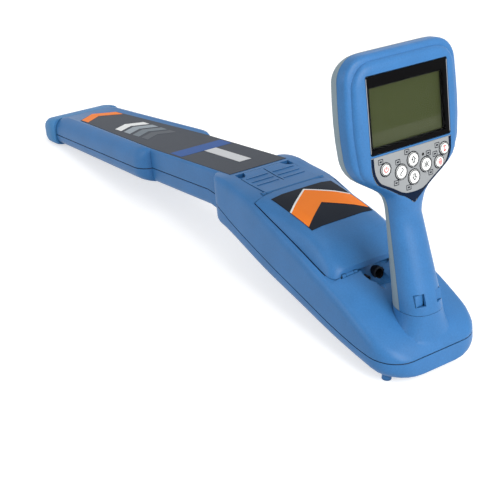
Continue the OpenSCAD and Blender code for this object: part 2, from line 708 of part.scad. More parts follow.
// Free height between the cells and the cover
cell_gap = 10;
tray_z = crest_z(tray_start) - cover_t - cell_gap - (tray_wall + fit + cell_d) / cos(tray_slope);
tip_r = 4.5;
tip_h = 1.4;
module tray_place() {
  translate([tray_start, 0, tray_z])
    rotate([0, tray_slope, 0])
      children();
}
module battery_tray() {
  color("#30363c")
    lie()
      tray_place()
        difference() {
          translate([0, -tray_w / 2, 0])
            cube([tray_len, tray_w, tray_h]);
          for (side = [-1, 1])
            translate([tray_wall, (side * (cell_room + tray_wall + fit) - cell_room - fit) / 2, tray_wall])
              cube([tray_len - 2 * tray_wall, cell_room + fit, tray_h]);
        }
}
module battery_cell(side) {
  turn = side > 0 ? 0 : 180;
  tray_place()
    translate([tray_len / 2, side * (cell_room + tray_wall + fit) / 2, tray_wall + fit + cell_d / 2])
      rotate([0, 0, turn])
        rotate([0, 90, 0])
          translate([0, 0, -cell_len / 2]) {
            cylinder(r = cell_d / 2, h = cell_len - tip_h);
            cylinder(r = tip_r, h = cell_len);
          }
}
module battery_cell_left() {
  color("#b08d57")
    lie()
      battery_cell(-1);
}
module battery_cell_right() {
  color("#b08d57")
    lie()
      battery_cell(1);
}
module battery_contacts() {
  color("silver")
    lie()
      tray_place()
        for (side = [-1, 1], x = [tray_wall + fit, tray_len - tray_wall - fit - contact_t])
          translate([x, side * (cell_room + tray_wall + fit) / 2 - contact_w / 2, tray_wall + fit])
            cube([contact_t, contact_w, cell_d / 2 + contact_w / 2]);
}
// Four posts of the lower shell carry the tray
tray_post = 6;
function tray_under(x) = tray_z - (x - tray_start) * tan(tray_slope);
module tray_posts() {
  for (x = [tray_start + tray_post, tray_start + tray_len * cos(tray_slope) - 2 * tray_post], side = [-1, 1])
    let (foot = bottom_z(x) + shell_wall / 2)
      translate([x, side * tray_w / 4 - tray_post / 2, foot])
        cube([tray_post, tray_post, tray_under(x + tray_post) - fit - foot]);
}
// The bay that the cover closes
hinge_block_len = 26;
bay_ledge = 7;
bay_end = cover_end - hinge_block_len;
bay_w = cover_w - 2 * bay_ledge;
module bay_opening() {
  translate([cover_start + cover_t, -bay_w / 2, -tail_bottom])
    cube([bay_end - cover_start - cover_t, bay_w, tail_bottom]);
}

// Antennas: three wound ferrite rods on a board that lies on ribs of the lower shell
board_drop = 5;
board_z = -foot_upper_h - board_drop;
winding_share = 0.55;
core_share = 0.6;
rib_t = 3;
coil_shares = [0.12, 0.53, 0.94];
module antenna_board() {
  color("#2c5a34")
    lie()
      translate([board_x, -board_w / 2, board_z - board_t])
        cube([board_len, board_w, board_t]);
}
module board_ribs() {
  for (s = coil_shares)
    translate([board_x + board_len * s - rib_t / 2, -board_w / 2, -tail_bottom])
      cube([rib_t, board_w, tail_bottom + board_z - board_t - fit]);
}
module antenna_coil(s) {
  color("#8a5a2c")
    lie()
      translate([board_x + board_len * s, 0, board_z + fit + coil_r])
        rotate([90, 0, 0]) {
          cylinder(r = coil_r, h = rod_len * winding_share, center = true);
          cylinder(r = coil_r * core_share, h = rod_len, center = true);
        }
}
module antenna_coil_foot() {
  antenna_coil(coil_shares[0]);
}
module antenna_coil_middle() {
  antenna_coil(coil_shares[1]);
}
module antenna_coil_upper() {
  antenna_coil(coil_shares[2]);
}

// Sockets in the wall of a round scoop behind the handle
scoop_back = 11;
scoop_rise = 9;
socket_drop = 10.5;
scoop_x = cover_end + scoop_back;
scoop_z = deck_z(scoop_x) + scoop_rise;
socket_wall = 1.8;
socket_proud = 1.2;
socket_len = 13;
socket_y = 6;
socket_z = deck_z(cover_end) - socket_drop;
jack_y = -10;
jack_wall = 1.4;
socket_x = scoop_x - sqrt(scoop_r ^ 2 - socket_y ^ 2 - (scoop_z - socket_z) ^ 2) + socket_proud;
jack_x = scoop_x - sqrt(scoop_r ^ 2 - jack_y ^ 2 - (scoop_z - socket_z) ^ 2) + socket_proud;
module socket_at(x, y) {
  translate([x, y, socket_z])
    rotate([0, -90, 0])
      children();
}
module socket_body(bore_r, wall) {
  difference() {
    cylinder(r = bore_r + wall, h = socket_len);
    translate([0, 0, -overrun])
      cylinder(r = bore_r, h = socket_depth + overrun);
  }
}
module accessory_socket() {
  color("#1e1e20")
    lie()
      socket_at(socket_x, socket_y)
        socket_body(socket_bore_r, socket_wall);
}
module headphone_socket() {
  color("#1e1e20")
    lie()
      socket_at(jack_x, jack_y)
        socket_body(jack_bore_r, jack_wall);
}
module socket_holes() {
  socket_at(socket_x + overrun, socket_y)
    cylinder(r = socket_bore_r + socket_wall + fit / 2, h = socket_len + overrun + fit);
  socket_at(jack_x + overrun, jack_y)
    cylinder(r = jack_bore_r + jack_wall + fit / 2, h = socket_len + overrun + fit);
}
// Free way in front of the sockets for their plugs
plug_reach = 27;
module plug_ways() {
  socket_at(socket_x + plug_reach, socket_y)
    cylinder(r = socket_bore_r + fit, h = plug_reach);
  socket_at(jack_x + plug_reach, jack_y)
    cylinder(r = jack_bore_r + jack_wall, h = plug_reach);
}
module scoop(r) {
  translate([scoop_x, 0, scoop_z])
    sphere(r = r);
}
// Solid wall between the battery bay and the scoop, which holds the sockets and the hinge lugs
module socket_block() {
  translate([bay_end, -hinge_span / 2 - knuckle_w - lug_w, -tail_bottom])
    cube([cover_end - bay_end, hinge_span + 2 * knuckle_w + 2 * lug_w, tail_bottom]);
}

// Upright tower of handle and head, in a frame whose YZ plane is the display face
neck_z = 0;
shoulder_z = 84;
neck_shares = [[0, 0], [0.095, 0.01], [0.18, 0.045], [0.25, 0.11], [0.31, 0.245], [0.37, 0.42], [0.43, 0.6],
  [0.49, 0.755], [0.55, 0.855], [0.63, 0.933], [0.714, 0.97], [1, 1]];
face_shares = [[0, 0], [0.1, 0.45], [0.2, 0.9], [0.27, 1], [1, 1]];
neck_front = -4;
base_front = 14;
handle_power = 2.3;
front_power = 8;
rear_power = 4.5;
// Rounded upper edges of the step and of the display face, and the height over which the rear falls away
step_edge = 5;
face_edge = 6;
rear_fall = 26;
rear_end_share = 0.985;
// How far the step and the inset of the face have grown at a share of the way from the neck to the shoulder
step_shares = [[0, 0], [0.13, 0], [0.45, 0.8], [0.6, 1], [1, 1]];
inset_shares = [[0, 0.05], [0.36, 0.1], [0.5, 0.4], [0.72, 1], [1, 1]];
face_start_share = 0.15;
// Depth of the start of the face below the neck
face_sunk = 0.3;
face_rise = 6;
// Foot of the handle on the deck, which flares to the sides more than fore and aft
boss_h = 32;
boss_flare = 13;
boss_end_share = 0.12;
bow_middle_share = 0.6;
parting_gap = 0.2;
function neck_share(z) = (z - neck_z) / (shoulder_z - neck_z);
function handle_share(z) = (z + handle_base) / (handle_base + neck_z);
function blend(z) = z <= neck_z ? 0 : curve(neck_share(z), neck_shares);
function flare(z) = z < -handle_base ? boss_flare * ((-handle_base - z) / boss_h) ^ 2 : 0;
// What a rounded upper edge of radius r takes off at the level z
function top_cut(z, r) = let (t = (z - head_top + r) / r) t <= 0 ? 0 : r * (1 - sqrt(1 - min(1, t) ^ 2));
function bow(z) =
  let (middle = head_top * bow_middle_share)
  z <= neck_z ? 0 : head_bow * blend(z) * ((z - middle) / (head_top - middle)) ^ 2;
function tower_wide(z) =
  mix(mix(handle_base_w, handle_neck_w, handle_share(z)), head_w, blend(z)) / 2 + flare(z) - bow(z);
function tower_half(z) = tower_wide(z) - top_cut(z, head_corner_r);
function handle_front(z) = mix(base_front, neck_front, handle_share(z));
function handle_deep(z) = mix(handle_base_d, handle_neck_d, handle_share(z));
function tower_front(z) =
  z <= neck_z ? handle_front(z) + boss_end_share * flare(z)
  : mix(handle_front(z), 0, curve(neck_share(z), face_shares));
function tower_part(z) = mix(handle_front(z) - handle_deep(z) / 2, -head_front_d, blend(z));
function tower_rear(z) =
  mix(handle_front(z) - handle_deep(z) - boss_end_share * flare(z), -head_front_d - head_rear_d, blend(z));
function step_share(z) = z <= neck_z ? 0 : curve(neck_share(z), step_shares);
function front_depth(z) =
  tower_front(z) - tower_part(z) - head_step * step_share(z) - top_cut(z, step_edge);
function face_depth(z) =
  tower_front(z) - tower_part(z) - top_cut(z + head_inset, face_edge)
  - face_sunk * mix(1, 0, face_rise * step_share(z));
function face_half(z) =
  tower_wide(z) - head_inset * curve(neck_share(z), inset_shares) - top_cut(z + head_inset, head_corner_r);
function rear_depth(z) =
  let (t = (z - head_top + rear_fall) / rear_fall)
  (tower_part(z) - tower_rear(z)) * (t <= 0 ? 1 : sqrt(1 - min(rear_end_share, t) ^ 2));
// Half of a rounded section, bulging towards +X for a hand of 1 and towards -X for -1
function bulge(w, d, power, n) = [for (i = [n:-1:-n]) let (a = 90 * i / n)
  [d * cos(a) ^ (2 / power), sign(i) * w * abs(sin(a)) ^ (2 / power)]];
function front_ring(z, inset, n, back) =
  let (p = mix(handle_power, front_power, blend(z)), part = tower_part(z))
  concat(back > 0 ? [[part - back, tower_half(z) - inset, z]] : [],
    [for (q = bulge(tower_half(z) - inset, front_depth(z) - inset, p, n)) [part + q[0], q[1], z]],
    back > 0 ? [[part - back, inset - tower_half(z), z]] : []);
// The display face, which stands on the step
function face_ring(z, inset, n) =
  let (p = mix(handle_power, front_power, blend(z)), part = tower_part(z))
  [for (q = bulge(face_half(z) - inset, face_depth(z) - inset, p, n)) [part + q[0], q[1], z]];
function rear_ring(z, inset, n, back) =
  let (p = mix(handle_power, rear_power, blend(z)), part = tower_part(z) - parting_gap)
  concat(back > 0 ? [[part + back, inset - tower_half(z), z]] : [],
    [for (q = bulge(tower_half(z) - inset, rear_depth(z) - inset - parting_gap, p, n))
      [part - q[0], -q[1], z]],
    back > 0 ? [[part + back, tower_half(z) - inset, z]] : []);
function full_ring(z, inset, n) =
  let (f = front_ring(z, inset, n, 0), r = rear_ring(z, inset, n, 0), m = len(r))
  concat(f, [for (i = [1:m - 2]) r[i]]);
joint_reach = 16;
flat_from_share = 0.72;
tower_places = concat(steps(-handle_base - joint_reach, neck_z, 8),
  steps(neck_z, shoulder_z * flat_from_share, 13),
  steps(shoulder_z * flat_from_share, head_top - head_corner_r, 4),
  arc_steps(head_top - head_corner_r, head_top, 8),
  [head_top]);
hollow_places = concat(steps(-handle_base - joint_reach - overrun, neck_z, 4),
  steps(neck_z, shoulder_z * flat_from_share, 7),
  steps(shoulder_z * flat_from_share, head_top - head_corner_r, 2),
  arc_steps(head_top - head_corner_r, head_top - head_wall, 4), [head_top - head_wall]);
face_top = head_top - head_inset;
face_places = concat(steps(shoulder_z * face_start_share, shoulder_z * flat_from_share, 9),
  steps(shoulder_z * flat_from_share, face_top - head_corner_r, 3),
  arc_steps(face_top - head_corner_r, face_top, 6), [face_top]);
face_hollow_places = concat(steps(shoulder_z * face_start_share + head_wall, shoulder_z * flat_from_share, 5),
  steps(shoulder_z * flat_from_share, face_top - head_corner_r, 2),
  arc_steps(face_top - head_corner_r, face_top - head_wall, 3), [face_top - head_wall]);
boss_places = concat(steps(-handle_base - boss_h, -handle_base, 6),
  steps(-handle_base, -handle_base + boss_h, 3));
fine_n = 9;
coarse_n = 6;
module tower() {
  translate([head_x, 0, 0])
    rotate([0, -head_lean, 0])
      children();
}
module front_outer() {
  loft([for (z = tower_places) front_ring(z, 0, fine_n, 0)]);
  loft([for (z = face_places) face_ring(z, 0, fine_n)]);
}
module front_inner() {
  loft([for (z = hollow_places) front_ring(z, head_wall, coarse_n, overrun)]);
  loft([for (z = face_hollow_places) face_ring(z, head_wall, coarse_n)]);
}
module rear_outer() {
  loft([for (z = tower_places) rear_ring(z, 0, fine_n, 0)]);
}
module rear_inner() {
  loft([for (z = hollow_places) rear_ring(z, head_wall, coarse_n, overrun)]);
}
// Space below the joint between handle and boss
module below_joint(gap) {
  translate([(base_front - handle_base_d) / 2, 0, -handle_base - gap])
    rotate([0, joint_tilt, 0])
      translate([-head_w, -head_w, -head_w * 2])
        cube([head_w * 2, head_w * 2, head_w * 2]);
}
// Windows near the base of the handle into which two clips of the boss snap
clip_w = 9;
clip_h = 11;
clip_y = 11;
clip_rise = 3;
clip_sunk = 5.5;
clip_z = -handle_base + clip_rise;
clip_reach = handle_base_d / 2 - clip_sunk;
module clip_windows() {
  for (side = [-1, 1])
    translate([base_front - handle_base_d / 2, side * clip_y - clip_w / 2, clip_z])
      cube([handle_base_d, clip_w, clip_h]);
}
spigot_h = 14;
spigot_w = 24;
spigot_d = 20;
spigot_r = 4;
module boss() {
  intersection() {
    loft([for (z = boss_places) full_ring(z, 0, fine_n)]);
    below_joint(fit);
  }
}
// Spigot of the boss inside the handle, with its two clips
module spigot() {
  translate([base_front - handle_base_d / 2 - spigot_d / 2, 0, -handle_base - boss_h / 2])
    rotate([0, 0, 90])
      translate([0, -spigot_d, 0])
        linear_extrude(height = boss_h / 2 + spigot_h)
          rounded_rect(spigot_w, spigot_d, spigot_r);
  for (side = [-1, 1])
    translate([base_front - handle_base_d / 2, side * clip_y - clip_w / 2 + fit, clip_z + fit])
      cube([clip_reach, clip_w - 2 * fit, clip_h - 2 * fit]);
}

// Screws that hold the head shells together, from behind
head_screw_y = 53;
head_screw_inset = 6;
head_screw_z = [lens_z + head_screw_inset, lens_z + lens_h - head_screw_inset];
head_post_r = 3.6;
screw_deep_share = 0.45;
head_screw_cover = 1;
head_screw_tip = -head_step - head_wall - head_screw_cover;
head_screw_len = head_front_d + head_rear_d * screw_deep_share + head_screw_tip;
module at_head_screws() {
  for (side = [-1, 1], z = head_screw_z)
    translate([head_screw_tip, side * head_screw_y, z])
      rotate([0, -90, 0])
        children();
}
module head_screw_cut() {
  at_head_screws() {
    cylinder(r = screw_r + pin_clearance, h = head_screw_len);
    translate([0, 0, head_screw_len - screw_head_h])
      cylinder(r = screw_head_r + fit, h = head_rear_d);
  }
}
module head_screws() {
  color("silver")
    lie()
      tower()
        at_head_screws() {
          translate([0, 0, fit])
            cylinder(r = screw_r, h = head_screw_len - fit);
          translate([0, 0, head_screw_len - screw_head_h + pin_clearance])
            cylinder(r = screw_head_r, h = screw_head_h - pin_clearance);
        }
}
module head_posts() {
  at_head_screws()
    translate([0, 0, -head_front_d])
      cylinder(r = head_post_r, h = 2 * head_front_d + head_rear_d);
}

// Display: window, black frame, display panel and main board, one behind the other
lens_sunk = 0.5;
lens_corner = 2;
ledge = 2.5;
frame_margin = 2.4;
bezel_t = 2.4;
lcd_t = 3;
lcd_border = 2.2;
lens_back = -lens_sunk - lens_t;
bezel_back = lens_back - fit - bezel_t;
lcd_back = bezel_back - fit - lcd_t;
frame_back = lcd_back - fit;
lcd_z = lens_z + lcd_margin;
// A plate that faces +X, from the depth back to the depth front
module face_plate(w, low, h, back, front, corner) {
  translate([back, 0, low])
    rotate([90, 0, 90])
      linear_extrude(height = front - back)
        rounded_rect(w, h, corner);
}
module rounded_rect(w, h, r) {
  translate([-w / 2 + r, 0])
    square([w - 2 * r, h]);
  translate([-w / 2, r])
    square([w, h - 2 * r]);
  for (x = [r - w / 2, w / 2 - r], y = [r, h - r])
    translate([x, y])
      circle(r = r);
}
module window_lens() {
  color("#9aa4a8", 0.5)
    lie()
      tower()
        face_plate(lens_w, lens_z, lens_h, lens_back, -lens_sunk, lens_corner);
}
module display_bezel() {
  color("#191619")
    lie()
      tower()
        difference() {
          face_plate(lens_w - 2 * ledge - 2 * fit, lens_z + ledge + fit, lens_h - 2 * ledge - 2 * fit,
            bezel_back, lens_back - fit, lens_corner);
          face_plate(lcd_w, lcd_z, lcd_h, bezel_back - overrun, overrun, lens_corner / 2);
        }
}
module lcd_panel() {
  color("#5a5f41")
    lie()
      tower()
        face_plate(lcd_w + 2 * lcd_border, lcd_z - lcd_border, lcd_h + 2 * lcd_border, lcd_back,
          bezel_back - fit, lens_corner / 2);
}
module main_board() {
  color("#2c5a34")
    lie()
      tower()
        face_plate(lens_w, lens_z, lens_h - ledge, frame_back - fit - board_t, frame_back - fit, lens_corner);
}
// Frame inside the front shell that carries the display
module display_frame() {
  face_plate(lens_w + 2 * frame_margin, lens_z - frame_margin, lens_h + 2 * frame_margin, frame_back,
    overrun, lens_corner);
}
module display_opening() {
  face_plate(lens_w + 2 * fit, lens_z - fit, lens_h + 2 * fit, lens_back - fit, head_front_d, lens_corner);
  face_plate(lens_w - 2 * ledge, lens_z + ledge, lens_h - 2 * ledge, frame_back - overrun, head_front_d,
    lens_corner);
}

// Keypad: a shield-shaped overlay with seven keys that press dome switches on a board
keypad_drop = 8;
keypad_round_share = 0.66;
keypad_tip_shares = [[0.27, 0.82], [0.12, 0.915], [0.05, 0.975]];
function keypad_outline(grow) =
  let (w = keypad_w / 2 + grow, b = keypad_h * keypad_round_share)
  concat([[0, keypad_top + grow], [w, keypad_top + grow]],
    [for (a = [0:6:54]) [w * cos(a), keypad_top - keypad_drop - (b + grow) * sin(a)]],
    [for (p = keypad_tip_shares) [p[0] * w, keypad_top - (keypad_h + grow) * p[1]]],
    [[0, keypad_top - keypad_h - grow]]);
module keypad_prism(grow, back, front) {
  translate([back, 0, 0])
    rotate([90, 0, 90])
      linear_extrude(height = front - back)
        polygon(mirrored(keypad_outline(grow)));
}
keypad_ledge = 2.2;
flange_w = 0.8;
flange_t = 0.8;
dome_r = 3;
dome_h = 0.6;
flange_front = -overlay_t - fit;
keypad_board_front = flange_front - flange_t - key_travel - dome_h - fit;
sensor_r = 1.3;
// Places as shares of half the keypad's width and of its height, from the middle of its upper edge
sensor_shares = [0.26, 0.185];
power_shares = [-0.68, 0.255];
wave_shares = [-0.31, 0.378];
up_shares = [0, 0.22];
down_shares = [0, 0.535];
antenna_shares = [0.317, 0.378];
signal_shares = [0.66, 0.408];
depth_shares = [0.805, 0.195];
// Place of a round piece on the face, and its radius
function spot(shares, r) = [shares[0] * keypad_w / 2, keypad_top - shares[1] * keypad_h, r];
sensor_place = spot(sensor_shares, sensor_r);
power_key = spot(power_shares, small_key_r);
wave_key = spot(wave_shares, key_r);
up_key = spot(up_shares, key_r);
down_key = spot(down_shares, key_r);
antenna_key = spot(antenna_shares, key_r);
signal_key = spot(signal_shares, small_key_r);
depth_key = spot(depth_shares, small_key_r);
keys = [power_key, wave_key, up_key, down_key, antenna_key, signal_key, depth_key];
module at_key(k, x) {
  translate([x, k[0], k[1]])
    rotate([0, 90, 0])
      children();
}
module key(k) {
  color("#e8e8e6")
    lie()
      tower() {
        at_key(k, flange_front - flange_t)
          cylinder(r = k[2] + flange_w, h = flange_t);
        at_key(k, flange_front - flange_t)
          cylinder(r = k[2], h = key_proud - flange_front + flange_t);
      }
}
module key_power() {
  key(power_key);
}
module key_wave() {
  key(wave_key);
}
module key_up() {
  key(up_key);
}
module key_down() {
  key(down_key);
}
module key_antenna() {
  key(antenna_key);
}
module key_signal() {
  key(signal_key);
}
module key_depth() {
  key(depth_key);
}
// The part of the display face that carries the keypad
module keypad_face() {
  low = keypad_top - keypad_h - overrun;
  start = shoulder_z * face_start_share;
  loft([for (z = [low, start, start + 2 * overrun]) front_ring(z, 0, fine_n, 0)]);
  loft([for (z = concat([for (z = face_places) if (z < keypad_top) z], [keypad_top + overrun]))
    face_ring(z, 0, fine_n)]);
}
module keypad_overlay() {
  color("#b9bbb9")
    lie()
      tower()
        difference() {
          intersection() {
            keypad_prism(0, -overlay_t, overrun);
            translate([-fit / 2, 0, 0])
              keypad_face();
          }
          for (k = keys)
            at_key(k, -head_front_d)
              cylinder(r = k[2] + fit, h = 2 * head_front_d);
          at_key(sensor_place, -head_front_d)
            cylinder(r = sensor_r + pin_clearance, h = 2 * head_front_d);
        }
}
module light_sensor() {
  color("#101012")
    lie()
      tower()
        at_key(sensor_place, -overlay_t)
          cylinder(r = sensor_r, h = overlay_t - fit / 2);
}
module keypad_board() {
  color("#2c5a34")
    lie()
      tower() {
        keypad_prism(-keypad_ledge - fit, keypad_board_front - board_t, keypad_board_front);
        for (k = keys)
          at_key(k, keypad_board_front)
            cylinder(r = dome_r, h = dome_h);
      }
}
module keypad_frame() {
  keypad_prism(frame_margin, keypad_board_front - board_t, overrun);
}
module keypad_opening() {
  keypad_prism(fit, -overlay_t - fit, head_front_d);
  keypad_prism(-keypad_ledge, -head_front_d, head_front_d);
}

// Speaker behind slots in the rear shell
speaker_r = 17;
speaker_h = 7;
speaker_z = 95;
slot_w = 2;
slot_pitch = 6;
slot_len_share = 1.2;
rim_share = 0.25;
magnet_share = 0.6;
slots = 5;
speaker_back = -head_front_d - head_rear_d + head_wall + fit;
module speaker() {
  color("#1e1e20")
    lie()
      tower()
        translate([speaker_back, 0, speaker_z])
          rotate([0, 90, 0])
            rotate_extrude()
              polygon([[0, 0], [speaker_r, 0], [speaker_r, speaker_h * rim_share],
                [speaker_r * magnet_share, speaker_h * magnet_share], [speaker_r * magnet_share, speaker_h],
                [0, speaker_h]]);
}
module speaker_slots() {
  for (i = [0:slots - 1])
    translate([-head_front_d - head_rear_d - overrun, -speaker_r * slot_len_share / 2,
      speaker_z + (i - (slots - 1) / 2) * slot_pitch - slot_w / 2])
      cube([head_wall + 2 * overrun, speaker_r * slot_len_share, slot_w]);
}

module front_shell() {
  color(blue)
    lie()
      tower()
        difference() {
          front_outer();
          difference() {
            front_inner();
            display_frame();
            keypad_frame();
            head_posts();
          }
          display_opening();
          keypad_opening();
          clip_windows();
          head_screw_cut();
          below_joint(0);
        }
}
module rear_shell() {
  color(grey)
    lie()
      tower()
        difference() {
          rear_outer();
          difference() {
            rear_inner();
            head_posts();
          }
          speaker_slots();
          head_screw_cut();
          below_joint(0);
        }
}

module upper_shell() {
  color(blue)
    lie()
      difference() {
        union() {
          difference() {
            upper_outer();
            difference() {
              upper_inner();
              screw_posts();
              scoop(scoop_r + shell_wall);
              socket_block();
              latch_slab(-overrun, latch_t + shell_wall, latch_start - shell_wall, cover_start,
                latch_w + shell_wall);
            }
            bay_opening();
            hinge_groove();
            hinge_rods(knuckle_r + lug_gap, hinge_pin_len + 2 * lug_gap);
            latch_pocket();
          }
          hinge_lugs();
          tower() {
            boss();
            spigot();
          }
        }
        scoop(scoop_r);
        plug_ways();
        socket_holes();
        each_screw_cut();
        hinge_rods(hinge_pin_r + pin_clearance, hinge_pin_len + overrun);
      }
}
module lower_shell() {
  color(blue) {
    lie()
      difference() {
        lower_outer();
        difference() {
          lower_inner();
          screw_posts();
          board_ribs();
        }
        each_screw_cut();
      }
    lie()
      tray_posts();
    for (side = [-1, 1])
      translate([floor_x(nub_x, -nub_drop), side * nub_span / 2, 0])
        cylinder(r = nub_r, h = nub_h + shell_wall * nub_bite_share);
  }
}
module shell_gasket() {
  color("#22262a")
    lie()
      difference() {
        seam_slab(shell_places, gasket_inset, gasket_t / 2 - pin_clearance);
        seam_slab(inner_places, shell_wall - pin_clearance, gasket_t);
        screw_posts();
      }
}
// A thin slab on the parting line, set in by an inset
module seam_slab(places, inset, h) {
  loft([for (x = concat([for (p = places) if (p < body_len - inset) p], [body_len - inset]))
    let (w = half_w(x) - inset, z = seam_z(x))
    [[x, w, z + h], [x, w, z - h], [x, -w, z - h], [x, -w, z + h]]]);
}
plate_y = 3.5;
module blade_label() {
  color("#484c52")
    lie()
      linear_extrude(height = label_t)
        polygon(concat([for (x = [0, -paddle_end, -label_len]) [x, label_half(x)]],
          [[-label_len - label_point, 0]],
          [for (x = [-label_len, -paddle_end, 0]) [x, -label_half(x)]]));
}
module rating_plate() {
  color("silver")
    lie()
      translate([-plate_start - plate_len, plate_y - plate_w / 2, label_t])
        cube([plate_len, plate_w, label_t]);
}

upper_shell();
lower_shell();
shell_gasket();
foot_boot();
blade_label();
rating_plate();
battery_cover();
cover_label();
cover_hinge_pins();
latch();
latch_pin();
battery_tray();
battery_cell_left();
battery_cell_right();
battery_contacts();
antenna_board();
antenna_coil_foot();
antenna_coil_middle();
antenna_coil_upper();
accessory_socket();
headphone_socket();
shell_screws();
front_shell();
rear_shell();
head_screws();
window_lens();
display_bezel();
lcd_panel();
main_board();
speaker();
keypad_overlay();
keypad_board();
light_sensor();
key_power();
key_wave();
key_up();
key_down();
key_antenna();
key_signal();
key_depth();
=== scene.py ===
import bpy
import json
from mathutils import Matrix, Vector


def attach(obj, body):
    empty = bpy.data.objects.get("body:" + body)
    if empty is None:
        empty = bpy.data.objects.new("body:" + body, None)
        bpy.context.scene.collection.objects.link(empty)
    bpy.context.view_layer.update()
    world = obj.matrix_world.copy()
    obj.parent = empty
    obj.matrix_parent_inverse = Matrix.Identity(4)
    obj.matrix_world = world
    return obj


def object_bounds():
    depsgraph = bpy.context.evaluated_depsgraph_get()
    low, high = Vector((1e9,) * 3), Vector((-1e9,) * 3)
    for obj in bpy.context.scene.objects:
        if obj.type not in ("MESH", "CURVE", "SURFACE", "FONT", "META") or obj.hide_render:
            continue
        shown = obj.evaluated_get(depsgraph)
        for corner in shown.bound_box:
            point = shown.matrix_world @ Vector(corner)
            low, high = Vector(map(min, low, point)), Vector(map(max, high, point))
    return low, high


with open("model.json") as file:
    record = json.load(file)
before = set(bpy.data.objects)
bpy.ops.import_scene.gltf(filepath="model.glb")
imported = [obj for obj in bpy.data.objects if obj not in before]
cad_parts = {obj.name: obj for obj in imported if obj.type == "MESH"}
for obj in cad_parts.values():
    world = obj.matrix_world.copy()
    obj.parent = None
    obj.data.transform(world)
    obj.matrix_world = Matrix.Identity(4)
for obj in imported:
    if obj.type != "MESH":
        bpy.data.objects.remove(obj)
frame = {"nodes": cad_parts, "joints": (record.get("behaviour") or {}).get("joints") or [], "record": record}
first_box = [list(corner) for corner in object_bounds()]

import json
import math

import bmesh
import bpy
from mathutils import Euler, Matrix, Vector
from mathutils.bvhtree import BVHTree

MM = 0.001
nodes = frame["nodes"]
joints = {j["name"]: j for j in frame["joints"]}
mounts = {m["name"]: m for m in frame["record"]["mounts"]}


# Places, worked out from the frame
def tilt_of(axis):
    """Angle by which a direction in the XZ plane points up."""
    return math.atan2(axis[2], axis[0])


def points_of(node, place):
    """A node's points, seen in a turned frame, in metres."""
    inverse = place.inverted()
    return [inverse @ v.co for v in nodes[node].data.vertices]


def reach(node, place):
    """Lowest and highest corner of a node, seen in a turned frame, in metres."""
    points = points_of(node, place)
    low = Vector([min(p[i] for p in points) for i in range(3)])
    high = Vector([max(p[i] for p in points) for i in range(3)])
    return low, high


pitch = tilt_of(mounts["accessory_socket"]["axis"])
blade_turn = Matrix.Rotation(-pitch, 4, "Y")
label_low, label_high = reach("blade_label", blade_turn)
# Origin at the tail end of the blade's label, X up the blade, Z out of the label
BLADE = blade_turn @ Matrix.Translation((label_high.x, 0, label_low.z))

lean = tilt_of([-a for a in joints["key_power_press"]["axis"]])
head_turn = Matrix.Rotation(-lean, 4, "Y")
lens_low, lens_high = reach("window_lens", head_turn)
# Origin in the middle of the window's lower edge, X out of the window, Z up the face
HEAD = head_turn @ Matrix.Translation((lens_high.x, 0, lens_low.z))

surface = {}
far_off = 200  # mm, from where every line towards a face starts


def touch(node, place, start, heading):
    """Where a straight line meets a node, both in a turned frame."""
    if node not in surface:
        mesh = nodes[node].data
        surface[node] = BVHTree.FromPolygons([v.co for v in mesh.vertices],
                                             [list(p.vertices) for p in mesh.polygons])
    turn = place.to_3x3()
    hit = surface[node].ray_cast(place @ Vector(start), turn @ Vector(heading))[0]
    return None if hit is None else place.inverted() @ hit


def touch_face(node, u, v):
    """Where a line straight into the head's face meets a node, from a place on the face in mm."""
    return touch(node, HEAD, (far_off * MM, u * MM, v * MM), (-1, 0, 0))


# Materials: colours are 8-bit screen colours, and noise scales are cells per metre
drift_scale, drift_detail, fine_detail = 35, 3, 2
speckle_share = 0.5
# Painted shade in seams and inner corners: reach in mm, occlusion range, darkest tone and rays
seam_shade_reach, seam_shade_full, seam_shade_none, seam_shade_tone, seam_shade_rays = 3, 0.25, 0.75, 0.25, 8
bump_height, edge_rays = 0.2, 4
least_rough, coat_rough = 0.02, 0.12


def linear(rgb):
    """Shader values of an 8-bit screen colour."""
    shares = [c / 255 for c in rgb]
    return [c / 12.92 if c <= 0.04045 else ((c + 0.055) / 1.055) ** 2.4 for c in shares] + [1]


def toned(rgb, factor):
    """A lighter or darker screen colour."""
    return [min(255, c * factor) for c in rgb]


def shaded_in_seams(tree, clean, rgb, seam_shade):
    """Colour output with painted shade: darker in seams and inner corners, where shade falls."""
    seams = tree.nodes.new("ShaderNodeAmbientOcclusion")
    seams.samples = seam_shade_rays
    seams.inputs["Distance"].default_value = seam_shade_reach * MM
    settled = tree.nodes.new("ShaderNodeMapRange")
    settled.inputs["From Min"].default_value = seam_shade_full
    settled.inputs["From Max"].default_value = seam_shade_none
    settled.inputs["To Min"].default_value = 1 - seam_shade
    settled.inputs["To Max"].default_value = 1.0
    seam_shaded = tree.nodes.new("ShaderNodeMix")
    seam_shaded.data_type = "RGBA"
    seam_shaded.inputs["A"].default_value = linear(toned(rgb, seam_shade_tone))
    tree.links.new(seams.outputs["AO"], settled.inputs["Value"])
    tree.links.new(settled.outputs["Result"], seam_shaded.inputs["Factor"])
    tree.links.new(clean, seam_shaded.inputs["B"])
    return seam_shaded.outputs["Result"]


